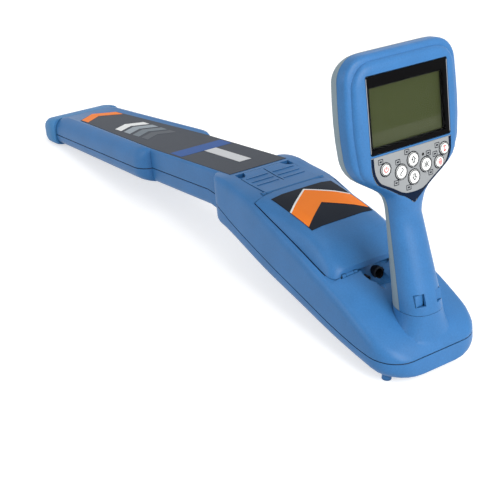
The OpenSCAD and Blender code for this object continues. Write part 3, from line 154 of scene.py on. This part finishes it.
def surface_of(name, rgb, rough, grain=900, bump=0.1, vary=0.06, metal=0.0, coat=0.0, edge=0.4,
               rough_vary=0.08, specular=0.5, seam_shade=0.0):
    """Procedural finish: drifting colour, fine grain in tone, bump and gloss, eased edges (mm), and painted
    shade in seams and inner corners when asked.
    """
    made = bpy.data.materials.new(name)
    made.use_nodes = True
    tree = made.node_tree
    shader = tree.nodes["Principled BSDF"]
    link = tree.links.new
    where = tree.nodes.new("ShaderNodeTexCoord")
    drift = tree.nodes.new("ShaderNodeTexNoise")
    drift.inputs["Scale"].default_value = drift_scale
    drift.inputs["Detail"].default_value = drift_detail
    link(where.outputs["Object"], drift.inputs["Vector"])
    fine = tree.nodes.new("ShaderNodeTexNoise")
    fine.inputs["Scale"].default_value = grain
    fine.inputs["Detail"].default_value = fine_detail
    link(where.outputs["Object"], fine.inputs["Vector"])
    speckle = tree.nodes.new("ShaderNodeMix")
    speckle.inputs["Factor"].default_value = speckle_share
    link(drift.outputs["Fac"], speckle.inputs["A"])
    link(fine.outputs["Fac"], speckle.inputs["B"])
    tint = tree.nodes.new("ShaderNodeMix")
    tint.data_type = "RGBA"
    tint.inputs["A"].default_value = linear(toned(rgb, 1 - vary))
    tint.inputs["B"].default_value = linear(toned(rgb, 1 + vary))
    link(speckle.outputs["Result"], tint.inputs["Factor"])
    colour = tint.outputs["Result"]
    # Painted shade: seams and inner corners darkened by ambient occlusion
    if seam_shade:
        colour = shaded_in_seams(tree, colour, rgb, seam_shade)
    link(colour, shader.inputs["Base Color"])
    gloss = tree.nodes.new("ShaderNodeMapRange")
    gloss.inputs["To Min"].default_value = max(least_rough, rough - rough_vary)
    gloss.inputs["To Max"].default_value = min(1.0, rough + rough_vary)
    link(fine.outputs["Fac"], gloss.inputs["Value"])
    link(gloss.outputs["Result"], shader.inputs["Roughness"])
    eased = tree.nodes.new("ShaderNodeBevel")
    eased.samples = edge_rays
    eased.inputs["Radius"].default_value = edge * MM
    rise = tree.nodes.new("ShaderNodeBump")
    rise.inputs["Strength"].default_value = bump
    rise.inputs["Distance"].default_value = bump_height * MM
    link(fine.outputs["Fac"], rise.inputs["Height"])
    link(eased.outputs["Normal"], rise.inputs["Normal"])
    link(rise.outputs["Normal"], shader.inputs["Normal"])
    shader.inputs["Metallic"].default_value = metal
    shader.inputs["Specular IOR Level"].default_value = specular
    shader.inputs["Coat Weight"].default_value = coat
    shader.inputs["Coat Roughness"].default_value = coat_rough
    return made


def printed(name, rgb, rough=0.45, specular=0.09):
    """Finish of a thin printed film."""
    return surface_of(name, rgb, rough, grain=2200, bump=0.05, edge=0.05, specular=specular)


# The shell and boot finishes carry painted shade in their seams and inner corners
finish = {
    "blue_shell": surface_of("blue_shell", (51, 107, 161), 0.4, grain=750, bump=0.4, vary=0.14,
                             specular=0.26, seam_shade=0.7),
    "blue_boot": surface_of("blue_boot", (66, 126, 178), 0.52, grain=750, bump=0.35, vary=0.14,
                            specular=0.25, seam_shade=0.7),
    "grey_shell": surface_of("grey_shell", (124, 141, 150), 0.5, grain=1000, bump=0.25, vary=0.07,
                             specular=0.3, seam_shade=0.6),
    "gasket_rubber": surface_of("gasket_rubber", (18, 34, 60), 0.75, grain=700, bump=0.2),
    "blade_label_film": printed("blade_label_film", (56, 62, 72)),
    "cover_label_film": printed("cover_label_film", (18, 26, 38)),
    "plate_metal": surface_of("plate_metal", (196, 199, 202), 0.42, grain=1800, bump=0.05, metal=0.6,
                              edge=0.1),
    "steel": surface_of("steel", (150, 152, 156), 0.35, grain=1500, bump=0.05, metal=1.0, edge=0.15),
    "dark_plastic": surface_of("dark_plastic", (34, 36, 40), 0.55, bump=0.15),
    "cell_jacket": surface_of("cell_jacket", (58, 60, 62), 0.35, grain=1800, bump=0.04, coat=0.3),
    "circuit_board": surface_of("circuit_board", (28, 84, 52), 0.45, grain=1500, bump=0.1, edge=0.1),
    "coil": surface_of("coil", (150, 86, 48), 0.4, grain=1600, bump=0.3, metal=0.6, edge=0.15),
    "socket_plastic": surface_of("socket_plastic", (22, 24, 28), 0.5, bump=0.12, edge=0.2),
    "bezel_black": surface_of("bezel_black", (12, 12, 13), 0.5, bump=0.06, edge=0.1, specular=0.04),
    "lcd_glass": surface_of("lcd_glass", (66, 71, 38), 0.4, grain=2600, bump=0.03, edge=0.05, vary=0.03,
                            specular=0.09),
    "keypad_film": printed("keypad_film", (144, 147, 149), 0.5),
    "key_cap": surface_of("key_cap", (232, 234, 232), 0.45, grain=2200, bump=0.06, edge=0.3),
}
ripple_scale, window_rough, window_tint = 60, 0.12, (246, 248, 248)
least_gloss, most_gloss = 0.007, 0.012


def clear_window():
    """Clear sheet: mostly see-through, with a weak even gloss."""
    made = bpy.data.materials.new("window_clear")
    made.use_nodes = True
    tree = made.node_tree
    link = tree.links.new
    for old in list(tree.nodes):
        tree.nodes.remove(old)
    where = tree.nodes.new("ShaderNodeTexCoord")
    waves = tree.nodes.new("ShaderNodeTexNoise")
    waves.inputs["Scale"].default_value = ripple_scale
    link(where.outputs["Object"], waves.inputs["Vector"])
    share = tree.nodes.new("ShaderNodeMapRange")
    share.inputs["To Min"].default_value = least_gloss
    share.inputs["To Max"].default_value = most_gloss
    link(waves.outputs["Fac"], share.inputs["Value"])
    through = tree.nodes.new("ShaderNodeBsdfTransparent")
    through.inputs["Color"].default_value = linear(window_tint)
    shine = tree.nodes.new("ShaderNodeBsdfGlossy")
    shine.inputs["Roughness"].default_value = window_rough
    both = tree.nodes.new("ShaderNodeMixShader")
    link(share.outputs["Result"], both.inputs["Fac"])
    link(through.outputs["BSDF"], both.inputs[1])
    link(shine.outputs["BSDF"], both.inputs[2])
    out = tree.nodes.new("ShaderNodeOutputMaterial")
    link(both.outputs["Shader"], out.inputs["Surface"])
    return made


finish["window_clear"] = clear_window()
ORANGE = printed("orange_print", (255, 131, 46))
WHITE = printed("white_print", (232, 234, 234))
PALE = printed("pale_grey_print", (150, 160, 168))
MIDDLE = printed("middle_grey_print", (110, 120, 128))
DIM = printed("dim_grey_print", (82, 88, 96))
BAND = printed("blue_print", (40, 84, 150))
NAVY = printed("navy_print", (10, 25, 47), specular=0.05)
RED = printed("red_print", (206, 40, 44))
INK = printed("ink_print", (18, 22, 32), specular=0.05)
BLACK = printed("black_print", (9, 9, 10), 0.4, 0.025)
# Pale colour of the painted highlights along the window's side edges
EDGE = printed("window_edge", (150, 156, 164), 0.3)
LCD_BAND = printed("lcd_band", (78, 81, 55), 0.4)
# Dark colour of the painted shade in the gap beside the cover
GAP_SHADE = surface_of("cover_seal", (12, 24, 44), 0.7, grain=700, bump=0.2, edge=0.1, specular=0.1)

# CAD nodes: finish and soft shading
weld_gap, crease_angle = 0.002, 34


def smooth_group():
    """Joins split corners and shades smoothly across every edge that turns by less than a limit."""
    group = bpy.data.node_groups.new("soft_shading", "GeometryNodeTree")
    group.interface.new_socket("Geometry", in_out="INPUT", socket_type="NodeSocketGeometry")
    group.interface.new_socket("Geometry", in_out="OUTPUT", socket_type="NodeSocketGeometry")
    link = group.links.new
    start = group.nodes.new("NodeGroupInput")
    end = group.nodes.new("NodeGroupOutput")
    plain = group.nodes.new("GeometryNodeRemoveAttribute")
    plain.inputs["Name"].default_value = "custom_normal"
    weld = group.nodes.new("GeometryNodeMergeByDistance")
    weld.inputs["Distance"].default_value = weld_gap * MM
    soft = group.nodes.new("GeometryNodeSetShadeSmooth")
    soft.domain = "FACE"
    soft.inputs["Shade Smooth"].default_value = True
    turn = group.nodes.new("GeometryNodeInputMeshEdgeAngle")
    gentle = group.nodes.new("FunctionNodeCompare")
    gentle.data_type = "FLOAT"
    gentle.operation = "LESS_THAN"
    gentle.inputs["B"].default_value = math.radians(crease_angle)
    sharp = group.nodes.new("GeometryNodeSetShadeSmooth")
    sharp.domain = "EDGE"
    link(start.outputs[0], plain.inputs["Geometry"])
    link(plain.outputs["Geometry"], weld.inputs["Geometry"])
    link(weld.outputs["Geometry"], soft.inputs["Geometry"])
    link(soft.outputs["Geometry"], sharp.inputs["Geometry"])
    link(turn.outputs["Unsigned Angle"], gentle.inputs["A"])
    link(gentle.outputs["Result"], sharp.inputs["Shade Smooth"])
    link(sharp.outputs["Geometry"], end.inputs[0])
    return group


soft_shading = smooth_group()
slot_of = {
    "upper_shell": "blue_shell", "lower_shell": "blue_shell", "front_shell": "blue_shell",
    "battery_cover": "blue_shell", "latch": "blue_shell", "foot_boot": "blue_boot",
    "rear_shell": "grey_shell", "shell_gasket": "gasket_rubber", "blade_label": "blade_label_film",
    "cover_label": "cover_label_film", "rating_plate": "plate_metal", "cover_hinge_pins": "steel",
    "latch_pin": "steel", "shell_screws": "steel", "head_screws": "steel", "battery_contacts": "steel",
    "battery_tray": "dark_plastic", "speaker": "dark_plastic",
    "battery_cell_left": "cell_jacket", "battery_cell_right": "cell_jacket",
    "antenna_board": "circuit_board", "main_board": "circuit_board", "keypad_board": "circuit_board",
    "antenna_coil_foot": "coil", "antenna_coil_middle": "coil", "antenna_coil_upper": "coil",
    "accessory_socket": "socket_plastic", "headphone_socket": "socket_plastic",
    "light_sensor": "bezel_black", "window_lens": "window_clear", "display_bezel": "bezel_black",
    "lcd_panel": "lcd_glass", "keypad_overlay": "keypad_film",
}
for name, piece in nodes.items():
    slot = slot_of.get(name, "key_cap")
    piece.data.materials.clear()
    piece.data.materials.append(finish[slot])
    shading = piece.modifiers.new("soft_shading", "NODES")
    shading.node_group = soft_shading

# Printed pieces, and strips of painted light and shade, laid on the CAD faces: sizes in mm
film_lift, film_thick, film_thin = 0.03, 0.12, 0.05
cell_size = 4.0


def lay(name, rows, target, place, material, body="root", normal=2, lift=film_lift,
        thick=film_thick, closed=False):
    """Thin film on a node's face, from rows of points in mm in the two axes that aren't its normal."""
    across = [i for i in range(3) if i != normal]
    heading = Vector((0, 0, 0))
    heading[normal] = -1
    mesh = bmesh.new()
    grid = []
    for row in rows:
        line = []
        for point in row:
            start = Vector((0, 0, 0))
            start[across[0]] = point[0] * MM
            start[across[1]] = point[1] * MM
            start[normal] = far_off * MM
            hit = touch(target, place, start, heading)
            if hit is None:
                raise RuntimeError(name + " hangs over the edge of " + target)
            hit[normal] += lift * MM
            line.append(mesh.verts.new(hit))
        grid.append(line)
    for near, far in zip(grid, grid[1:] + grid[:1] if closed else grid[1:]):
        for i in range(len(near) - 1):
            mesh.faces.new((near[i], near[i + 1], far[i + 1], far[i]))
    raised = bmesh.ops.extrude_face_region(mesh, geom=mesh.faces[:], use_keep_orig=True)
    for item in raised["geom"]:
        if isinstance(item, bmesh.types.BMVert):
            item.co[normal] += thick * MM
    bmesh.ops.recalc_face_normals(mesh, faces=mesh.faces[:])
    data = bpy.data.meshes.new(name)
    mesh.to_mesh(data)
    mesh.free()
    data.transform(place)
    data.materials.append(material)
    piece = bpy.data.objects.new(name, data)
    bpy.context.scene.collection.objects.link(piece)
    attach(piece, body)


def block(u0, u1, v0, v1):
    """Rows of a rectangle."""
    m = max(1, round(abs(u1 - u0) / cell_size))
    n = max(1, round(abs(v1 - v0) / cell_size))
    return [[(u0 + (u1 - u0) * i / m, v0 + (v1 - v0) * k / n) for k in range(n + 1)]
            for i in range(m + 1)]


def chevron(end, apex, half, depth):
    """Rows of a chevron: arm ends at `end`, apex in the middle, arms `depth` deep along the blade."""
    m = round(half / cell_size) + 1
    n = max(1, round(depth / cell_size))
    return [[(apex + (end - apex) * abs(i) / m + depth * k / n, half * i / m) for k in range(n + 1)]
            for i in range(-m, m + 1)]


def ring(u, v, inner, outer, count=44):
    """Rows of a flat ring."""
    turns = [2 * math.pi * i / count for i in range(count)]
    return [[(u + r * math.cos(a), v + r * math.sin(a)) for r in (inner, outer)] for a in turns]


def round_rect(u0, u1, v0, v1, r, count=4):
    """Outline of a rectangle with round corners."""
    corners = [(u1 - r, v1 - r), (u0 + r, v1 - r), (u0 + r, v0 + r), (u1 - r, v0 + r)]
    turns = [(u, v, math.pi / 2 * (q + i / count))
             for q, (u, v) in enumerate(corners) for i in range(count + 1)]
    return [(u + r * math.cos(a), v + r * math.sin(a)) for u, v, a in turns]


def arc(u, v, r, start, end, count=14):
    """Points on an arc between two angles in degrees."""
    turns = [math.radians(start + (end - start) * i / count) for i in range(count + 1)]
    return [(u + r * math.cos(a), v + r * math.sin(a)) for a in turns]


def stroke(points, width, closed=False):
    """Rows of a line of even width."""
    rows = []
    last = len(points) - 1
    sharpest = 0.5  # least cosine that widens a corner
    for i, (u, v) in enumerate(points):
        before = points[i - 1] if i or closed else None
        after = points[(i + 1) % len(points)] if i < last or closed else None
        into = Vector((u - before[0], v - before[1])).normalized() if before else None
        out = Vector((after[0] - u, after[1] - v)).normalized() if after else into
        into = into or out
        side = Vector((-into.y - out.y, into.x + out.x)).normalized()
        side *= width / 2 / max(sharpest, side.dot(Vector((-into.y, into.x))))
        rows.append([(u - side.x, v - side.y), (u + side.x, v + side.y)])
    return rows


# Blade label: orange chevron along its pointed foot end, four smaller ones that fade, a plain blue band
label_margin = 0.8
label_foot = (label_low.x - label_high.x) / MM + label_margin
foot_rise, foot_half, foot_depth = 18, 24.5, 17
lay("foot_chevron", chevron(label_foot + foot_rise, label_foot, foot_half, foot_depth), "blade_label",
    BLADE, ORANGE)
fade_end, fade_step, fade_rise, fade_half, fade_depth = -263, 20.4, 11, 19.5, 14
fades = (("white", WHITE), ("pale", PALE), ("middle", MIDDLE), ("dim", DIM))
for i, (shade, ink) in enumerate(fades):
    arm_end = fade_end + fade_step * i
    lay("chevron_" + shade, chevron(arm_end, arm_end - fade_rise, fade_half, fade_depth), "blade_label",
        BLADE, ink)
band_start, band_end, band_half = -117.6, -95.3, 33
lay("blade_band", block(band_start, band_end, -band_half, band_half), "blade_label", BLADE, BAND)

# Cover label: one large chevron with a white leading edge
mark_low, mark_high = reach("cover_label", BLADE)
mark_inset, mark_from = 0.4, 5
mark_half = mark_high.y / MM - mark_inset
mark_apex = mark_low.x / MM + mark_from
mark_rise, mark_depth, mark_lead = 25.5, 25.5, 2.2
lay("cover_chevron", chevron(mark_apex + mark_rise, mark_apex, mark_half, mark_depth), "cover_label",
    BLADE, ORANGE, "cover")
lead_apex = mark_apex - mark_lead
lay("cover_chevron_edge", chevron(mark_apex + mark_rise - mark_lead, lead_apex, mark_half, mark_lead),
    "cover_label", BLADE, WHITE, "cover")

# Painted shade: dark strips on the ledge beside the straight part of the cover's two long edges, standing
# for the shadow in the gap there
cover_points = [(p.x / MM, p.y / MM) for p in points_of("battery_cover", BLADE)]
cover_half = max(y for x, y in cover_points)
gap_shade_offset, gap_shade_w, gap_shade_slack = 0.1, 0.9, 0.05
straight = [x for x, y in cover_points if y > cover_half - gap_shade_slack]
gap_shade_in = cover_half + gap_shade_offset
for side, name in ((-1, "left"), (1, "right")):
    gap_shade_rows = block(min(straight), max(straight), side * gap_shade_in, side * (gap_shade_in + gap_shade_w))
    lay("cover_seal_" + name, gap_shade_rows, "upper_shell", BLADE, GAP_SHADE)

# Window: black printed border, and pale strips along its side edges as painted highlights of the lens's
# edges
lens_half, lens_tall = lens_high.y / MM, (lens_high.z - lens_low.z) / MM
rim_side, rim_end, rim_r = 0.9, 0.5, 1.2
view_left, view_right, view_foot, view_top, view_r = 2.0, 5.0, 4.4, 9.5, 0.6
rim = round_rect(-lens_half + rim_side, lens_half - rim_side, rim_end, lens_tall - rim_end, rim_r)
view = round_rect(-lens_half + view_left, lens_half - view_right, view_foot, lens_tall - view_top, view_r)
lay("window_border", list(zip(rim, view)), "window_lens", HEAD, BLACK, normal=0,
    thick=film_thin, closed=True)
# Painted highlights: pale strips along the lens's left and right edges
glint_in, glint_out, glint_end = 0.8, 0.2, 2
for side, name in ((-1, "left"), (1, "right")):
    glint = block(side * (lens_half - glint_in), side * (lens_half - glint_out), glint_end,
                  lens_tall - glint_end)
    lay("window_edge_" + name, glint, "window_lens", HEAD, EDGE, normal=0, thick=film_thin)

# Display: paler lower band
lcd_low, lcd_high = reach("lcd_panel", HEAD)
band_in, band_share = 3.0, 0.26
lcd_tall = (lcd_high.z - lcd_low.z) / MM
lcd_band = block(lcd_low.y / MM + band_in, lcd_high.y / MM - band_in, lcd_low.z / MM + band_in,
                 lcd_low.z / MM + lcd_tall * band_share)
lay("lcd_band", lcd_band, "lcd_panel", HEAD, LCD_BAND, normal=0, thick=film_thin)


# Keypad: navy border that widens to the V below the keys
def hull(points):
    """Corners of the convex outline, anticlockwise."""
    points = sorted(set(points))
    halves = []
    for line in (points, points[::-1]):
        kept = []
        for p in line:
            while len(kept) > 1 and ((kept[-1][0] - kept[-2][0]) * (p[1] - kept[-2][1])
                                     <= (kept[-1][1] - kept[-2][1]) * (p[0] - kept[-2][0])):
                kept.pop()
            kept.append(p)
        halves.append(kept[:-1])
    return halves[0] + halves[1]


pad_digits = 3
pad = hull([(round(p.y / MM, pad_digits), round(p.z / MM, pad_digits))
            for p in points_of("keypad_overlay", HEAD)])


def to_edge(start, way):
    """Distance from a point to the keypad's outline."""
    level, slack = 1e-9, 1e-6
    for (u0, v0), (u1, v1) in zip(pad, pad[1:] + pad[:1]):
        du, dv = u1 - u0, v1 - v0
        turn = way[0] * dv - way[1] * du
        if abs(turn) > level:
            far = ((u0 - start[0]) * dv - (v0 - start[1]) * du) / turn
            share = ((u0 - start[0]) * way[1] - (v0 - start[1]) * way[0]) / turn
            if far > 0 and -slack <= share <= 1 + slack:
                return far
    raise RuntimeError("no edge that way")


search_step = 0.1
pad_top, pad_foot = max(p[1] for p in pad), min(p[1] for p in pad)
pad_half = max(p[0] for p in pad)
trim_w, trim_v, trim_inset, trim_end, bow_below = 2.6, 10, 0.05, 0.5, 11
side_steps, bow_steps, trim_cells = 4, 36, 4
bow_v = pad_top - bow_below
bow_a, bow_b = pad_half - trim_w, bow_v - pad_foot - trim_v
side_rise = pad_top - trim_end - bow_v
ways = [((0, bow_v + side_rise * (1 - i / side_steps)), math.pi) for i in range(side_steps)]
ways += [((0, bow_v), math.pi * (1 + i / bow_steps)) for i in range(bow_steps + 1)]
ways += [((0, bow_v + side_rise * (i + 1) / side_steps), 2 * math.pi) for i in range(side_steps)]
trim = []
for start, angle in ways:
    way = (math.cos(angle), math.sin(angle))
    outer = to_edge(start, way)
    while touch_face("keypad_overlay", start[0] + way[0] * outer, start[1] + way[1] * outer) is None:
        outer -= search_step
    outer -= trim_inset
    inner = min(outer - trim_w, 1 / math.hypot(way[0] / bow_a, way[1] / bow_b))
    depths = [inner + (outer - inner) * k / trim_cells for k in range(trim_cells + 1)]
    trim.append([(start[0] + way[0] * d, start[1] + way[1] * d) for d in depths])
lay("keypad_border", trim, "keypad_overlay", HEAD, NAVY, normal=0)

# Keys: a dark outline round each and on its cap, and a plain sign of one or more strokes
arrow = [(-0.9, -2.6), (0.9, -2.6), (0.9, 0.1), (2.1, 0.1), (0, 2.8), (-2.1, 0.1), (-0.9, 0.1)]
wave_half, wave_tall, wave_steps = 1.7, 7.2, 24
wave = [(-wave_half * math.sin(2 * math.pi * i / wave_steps), wave_tall * (i / wave_steps - 1 / 2))
        for i in range(wave_steps + 1)]
signs = {
    "key_power": (RED, [(arc(0, 0, 2.1, 125, 415), False), ([(0, 0.2), (0, 2.7)], False)]),
    "key_wave": (INK, [(wave, False)]),
    "key_up": (INK, [(arrow, True)]),
    "key_down": (INK, [([(u, -v) for u, v in arrow], True)]),
    "key_antenna": (INK, [(arc(-3.4, 0, 2.2, -65, 65), False), (arc(3.4, 0, 2.2, 115, 245), False),
                          ([(0, -2.6), (0, 2.6)], False)]),
    "key_signal": (RED, [(arc(-2.4, 0, r, -48, 48), False) for r in (1.6, 3.0, 4.4)]),
    "key_depth": (RED, [([(-2.2, 2.2), (2.2, 2.2)], False), ([(0, 1.6), (0, -2.4)], False),
                        ([(-1.4, -1), (0, -2.5), (1.4, -1)], False)]),
}
cap_drop, hole_depth, hole_points = 0.6, 2, 24


def cap_edge(name, u, v):
    """Radius of a key's cap, inside the flange that holds it."""
    probe = 0.0
    top = touch_face(name, u, v).x
    while touch_face(name, u + probe, v).x > top - cap_drop * MM:
        probe += search_step
    return probe - search_step


def hole_edge(u, v, start):
    """Radius at which the keypad begins, all round a key."""
    r = start
    while True:
        hits = [touch_face("keypad_overlay", a, b) for a, b in arc(u, v, r, 0, 360, hole_points)]
        if all(hit is not None and hit.x >= -hole_depth * MM for hit in hits):
            return r
        r += search_step


keys = {}
key_edge = {}
for name in signs:
    low, high = reach(name, HEAD)
    keys[name] = ((low.y + high.y) / 2 / MM, (low.z + high.z) / 2 / MM)
    key_edge[name] = cap_edge(name, *keys[name])

outline_w, outline_lift, outline_inset, sign_w = 0.7, 0.06, 0.1, 0.65
for name, (ink, lines) in signs.items():
    u, v = keys[name]
    cap = key_edge[name]
    hole = hole_edge(u, v, cap)
    lay(name + "_outline", ring(u, v, hole, hole + outline_w), "keypad_overlay", HEAD, INK,
        normal=0, lift=outline_lift, closed=True)
    lay(name + "_edge", ring(u, v, cap - outline_w, cap - outline_inset), name, HEAD, INK, name,
        normal=0, closed=True)
    for i, (points, shut) in enumerate(lines):
        sign = stroke([(u + a, v + b) for a, b in points], sign_w, shut)
        lay(name + "_sign_%d" % i, sign, name, HEAD, ink, name, normal=0, closed=shut)

# Small framed signs beside the keys, each pushed out until it clears every key
tag_w, tag_h, tag_gap, tag_push = 5.5, 4.7, 0.75, 0.02
tag_line, tag_r, tag_inner_r, dot_w, dot_h = 0.6, 0.6, 0.3, 2.2, 1.4
tags = [("key_power", (-3.9, 6.1)), ("key_wave", (-2.9, 9.0)), ("key_wave", (-5.8, -8.1)),
        ("key_up", (-5.5, 6.8)), ("key_down", (-5.5, -6.5)), ("key_antenna", (3.2, 8.1)),
        ("key_antenna", (5.1, -8.4)), ("key_signal", (-3.3, 6.0)), ("key_depth", (-7.0, 4.0))]


def framed(u, v, w, h, r):
    """Outline of a tag's frame about its middle."""
    return round_rect(u - w / 2, u + w / 2, v - h / 2, v + h / 2, r)


for i, (name, way) in enumerate(tags):
    grow = 1.0
    while True:
        u, v = (keys[name][0] + way[0] * grow, keys[name][1] + way[1] * grow)
        outside = framed(u, v, tag_w, tag_h, tag_r)
        if all(math.dist(p, keys[k]) > key_edge[k] + tag_gap for p in outside for k in keys):
            break
        grow += tag_push
    inside = framed(u, v, tag_w - 2 * tag_line, tag_h - 2 * tag_line, tag_inner_r)
    lay("tag_%d" % i, list(zip(outside, inside)), "keypad_overlay", HEAD, INK, normal=0,
        thick=film_thin, closed=True)
    dot = block(u - dot_w / 2, u + dot_w / 2, v - dot_h / 2, v + dot_h / 2)
    lay("tag_%d_dot" % i, dot, "keypad_overlay", HEAD, INK, normal=0, thick=film_thin)


# Floor and backdrop
def shown(tree):
    """1 on rays that see the backdrop itself: from the camera, off gloss and through glass; else 0."""
    rays = tree.nodes.new("ShaderNodeLightPath")
    two = tree.nodes.new("ShaderNodeMath")
    two.operation = "MAXIMUM"
    three = tree.nodes.new("ShaderNodeMath")
    three.operation = "MAXIMUM"
    tree.links.new(rays.outputs["Is Camera Ray"], two.inputs[0])
    tree.links.new(rays.outputs["Is Glossy Ray"], two.inputs[1])
    tree.links.new(two.outputs["Value"], three.inputs[0])
    tree.links.new(rays.outputs["Is Transmission Ray"], three.inputs[1])
    return three.outputs["Value"]


floor_half, floor_cells, floor_drop = 6, 8, 0.05 * MM
floor_dark, floor_light, floor_glow = 0.64, 0.66, 0.6
floor_rough, cloud_scale = 0.9, 3
world_fill, world_white = 0.58, 1.0


def pale_floor():
    """Matt, faintly clouded floor that shows nearly white."""
    made = bpy.data.materials.new("pale_floor")
    made.use_nodes = True
    tree = made.node_tree
    link = tree.links.new
    shader = tree.nodes["Principled BSDF"]
    shader.inputs["Roughness"].default_value = floor_rough
    shader.inputs["Specular IOR Level"].default_value = 0.0
    where = tree.nodes.new("ShaderNodeTexCoord")
    cloud = tree.nodes.new("ShaderNodeTexNoise")
    cloud.inputs["Scale"].default_value = cloud_scale
    link(where.outputs["Object"], cloud.inputs["Vector"])
    tone = tree.nodes.new("ShaderNodeMix")
    tone.data_type = "RGBA"
    tone.inputs["A"].default_value = [floor_dark] * 3 + [1]
    tone.inputs["B"].default_value = [floor_light] * 3 + [1]
    link(cloud.outputs["Fac"], tone.inputs["Factor"])
    link(tone.outputs["Result"], shader.inputs["Base Color"])
    shader.inputs["Emission Color"].default_value = (1, 1, 1, 1)
    lifted = tree.nodes.new("ShaderNodeMath")
    lifted.operation = "MULTIPLY"
    lifted.inputs[1].default_value = floor_glow
    link(shown(tree), lifted.inputs[0])
    link(lifted.outputs["Value"], shader.inputs["Emission Strength"])
    return made


floor_mesh = bpy.data.meshes.new("floor")
sheet = bmesh.new()
bmesh.ops.create_grid(sheet, x_segments=floor_cells, y_segments=floor_cells, size=floor_half)
sheet.to_mesh(floor_mesh)
sheet.free()
floor = bpy.data.objects.new("floor", floor_mesh)
floor.location.z = first_box[0][2] - floor_drop
bpy.context.scene.collection.objects.link(floor)
floor_mesh.materials.append(pale_floor())

world = bpy.data.worlds.new("studio")
bpy.context.scene.world = world
world.use_nodes = True
tree = world.node_tree
back = tree.nodes["Background"]
back.inputs["Color"].default_value = (1, 1, 1, 1)
seen = tree.nodes.new("ShaderNodeMapRange")
seen.inputs["To Min"].default_value = world_fill
seen.inputs["To Max"].default_value = world_white
tree.links.new(shown(tree), seen.inputs["Value"])
tree.links.new(seen.outputs["Result"], back.inputs["Strength"])

# Lamps: places in metres, power in watts
lamp_size, lamp_aim = 1.0, Vector((0.05, 0, 0.1))


def lamp(name, place, power):
    """Square soft light, turned to the object."""
    data = bpy.data.lights.new(name, "AREA")
    data.shape = "SQUARE"
    data.size = lamp_size
    data.energy = power
    light = bpy.data.objects.new(name, data)
    light.location = place
    light.rotation_euler = (lamp_aim - Vector(place)).to_track_quat("-Z", "Y").to_euler()
    bpy.context.scene.collection.objects.link(light)


lamp("key_light", (1.4, 0.1, 0.9), 20)
lamp("side_light", (-0.3, -1.6, 0.7), 8)
lamp("top_light", (0.1, 0, 1.9), 4)

# The photo's camera: place in mm and turn in degrees, both in the blade's frame
camera_place = Vector((927.61, -640.13, 335.59)) * MM
camera_turn = Euler([math.radians(a) for a in (69.236, 5.012, 54.334)])
camera_lens, camera_sensor, camera_near = 82.86, 36, 0.01
camera_data = bpy.data.cameras.new("camera")
camera_data.lens = camera_lens
camera_data.sensor_width = camera_sensor
camera_data.clip_start = camera_near
camera = bpy.data.objects.new("camera", camera_data)
camera.matrix_world = BLADE @ Matrix.LocRotScale(camera_place, camera_turn, None)
bpy.context.scene.collection.objects.link(camera)
bpy.context.scene.camera = camera
bpy.context.scene.view_settings.view_transform = "Standard"
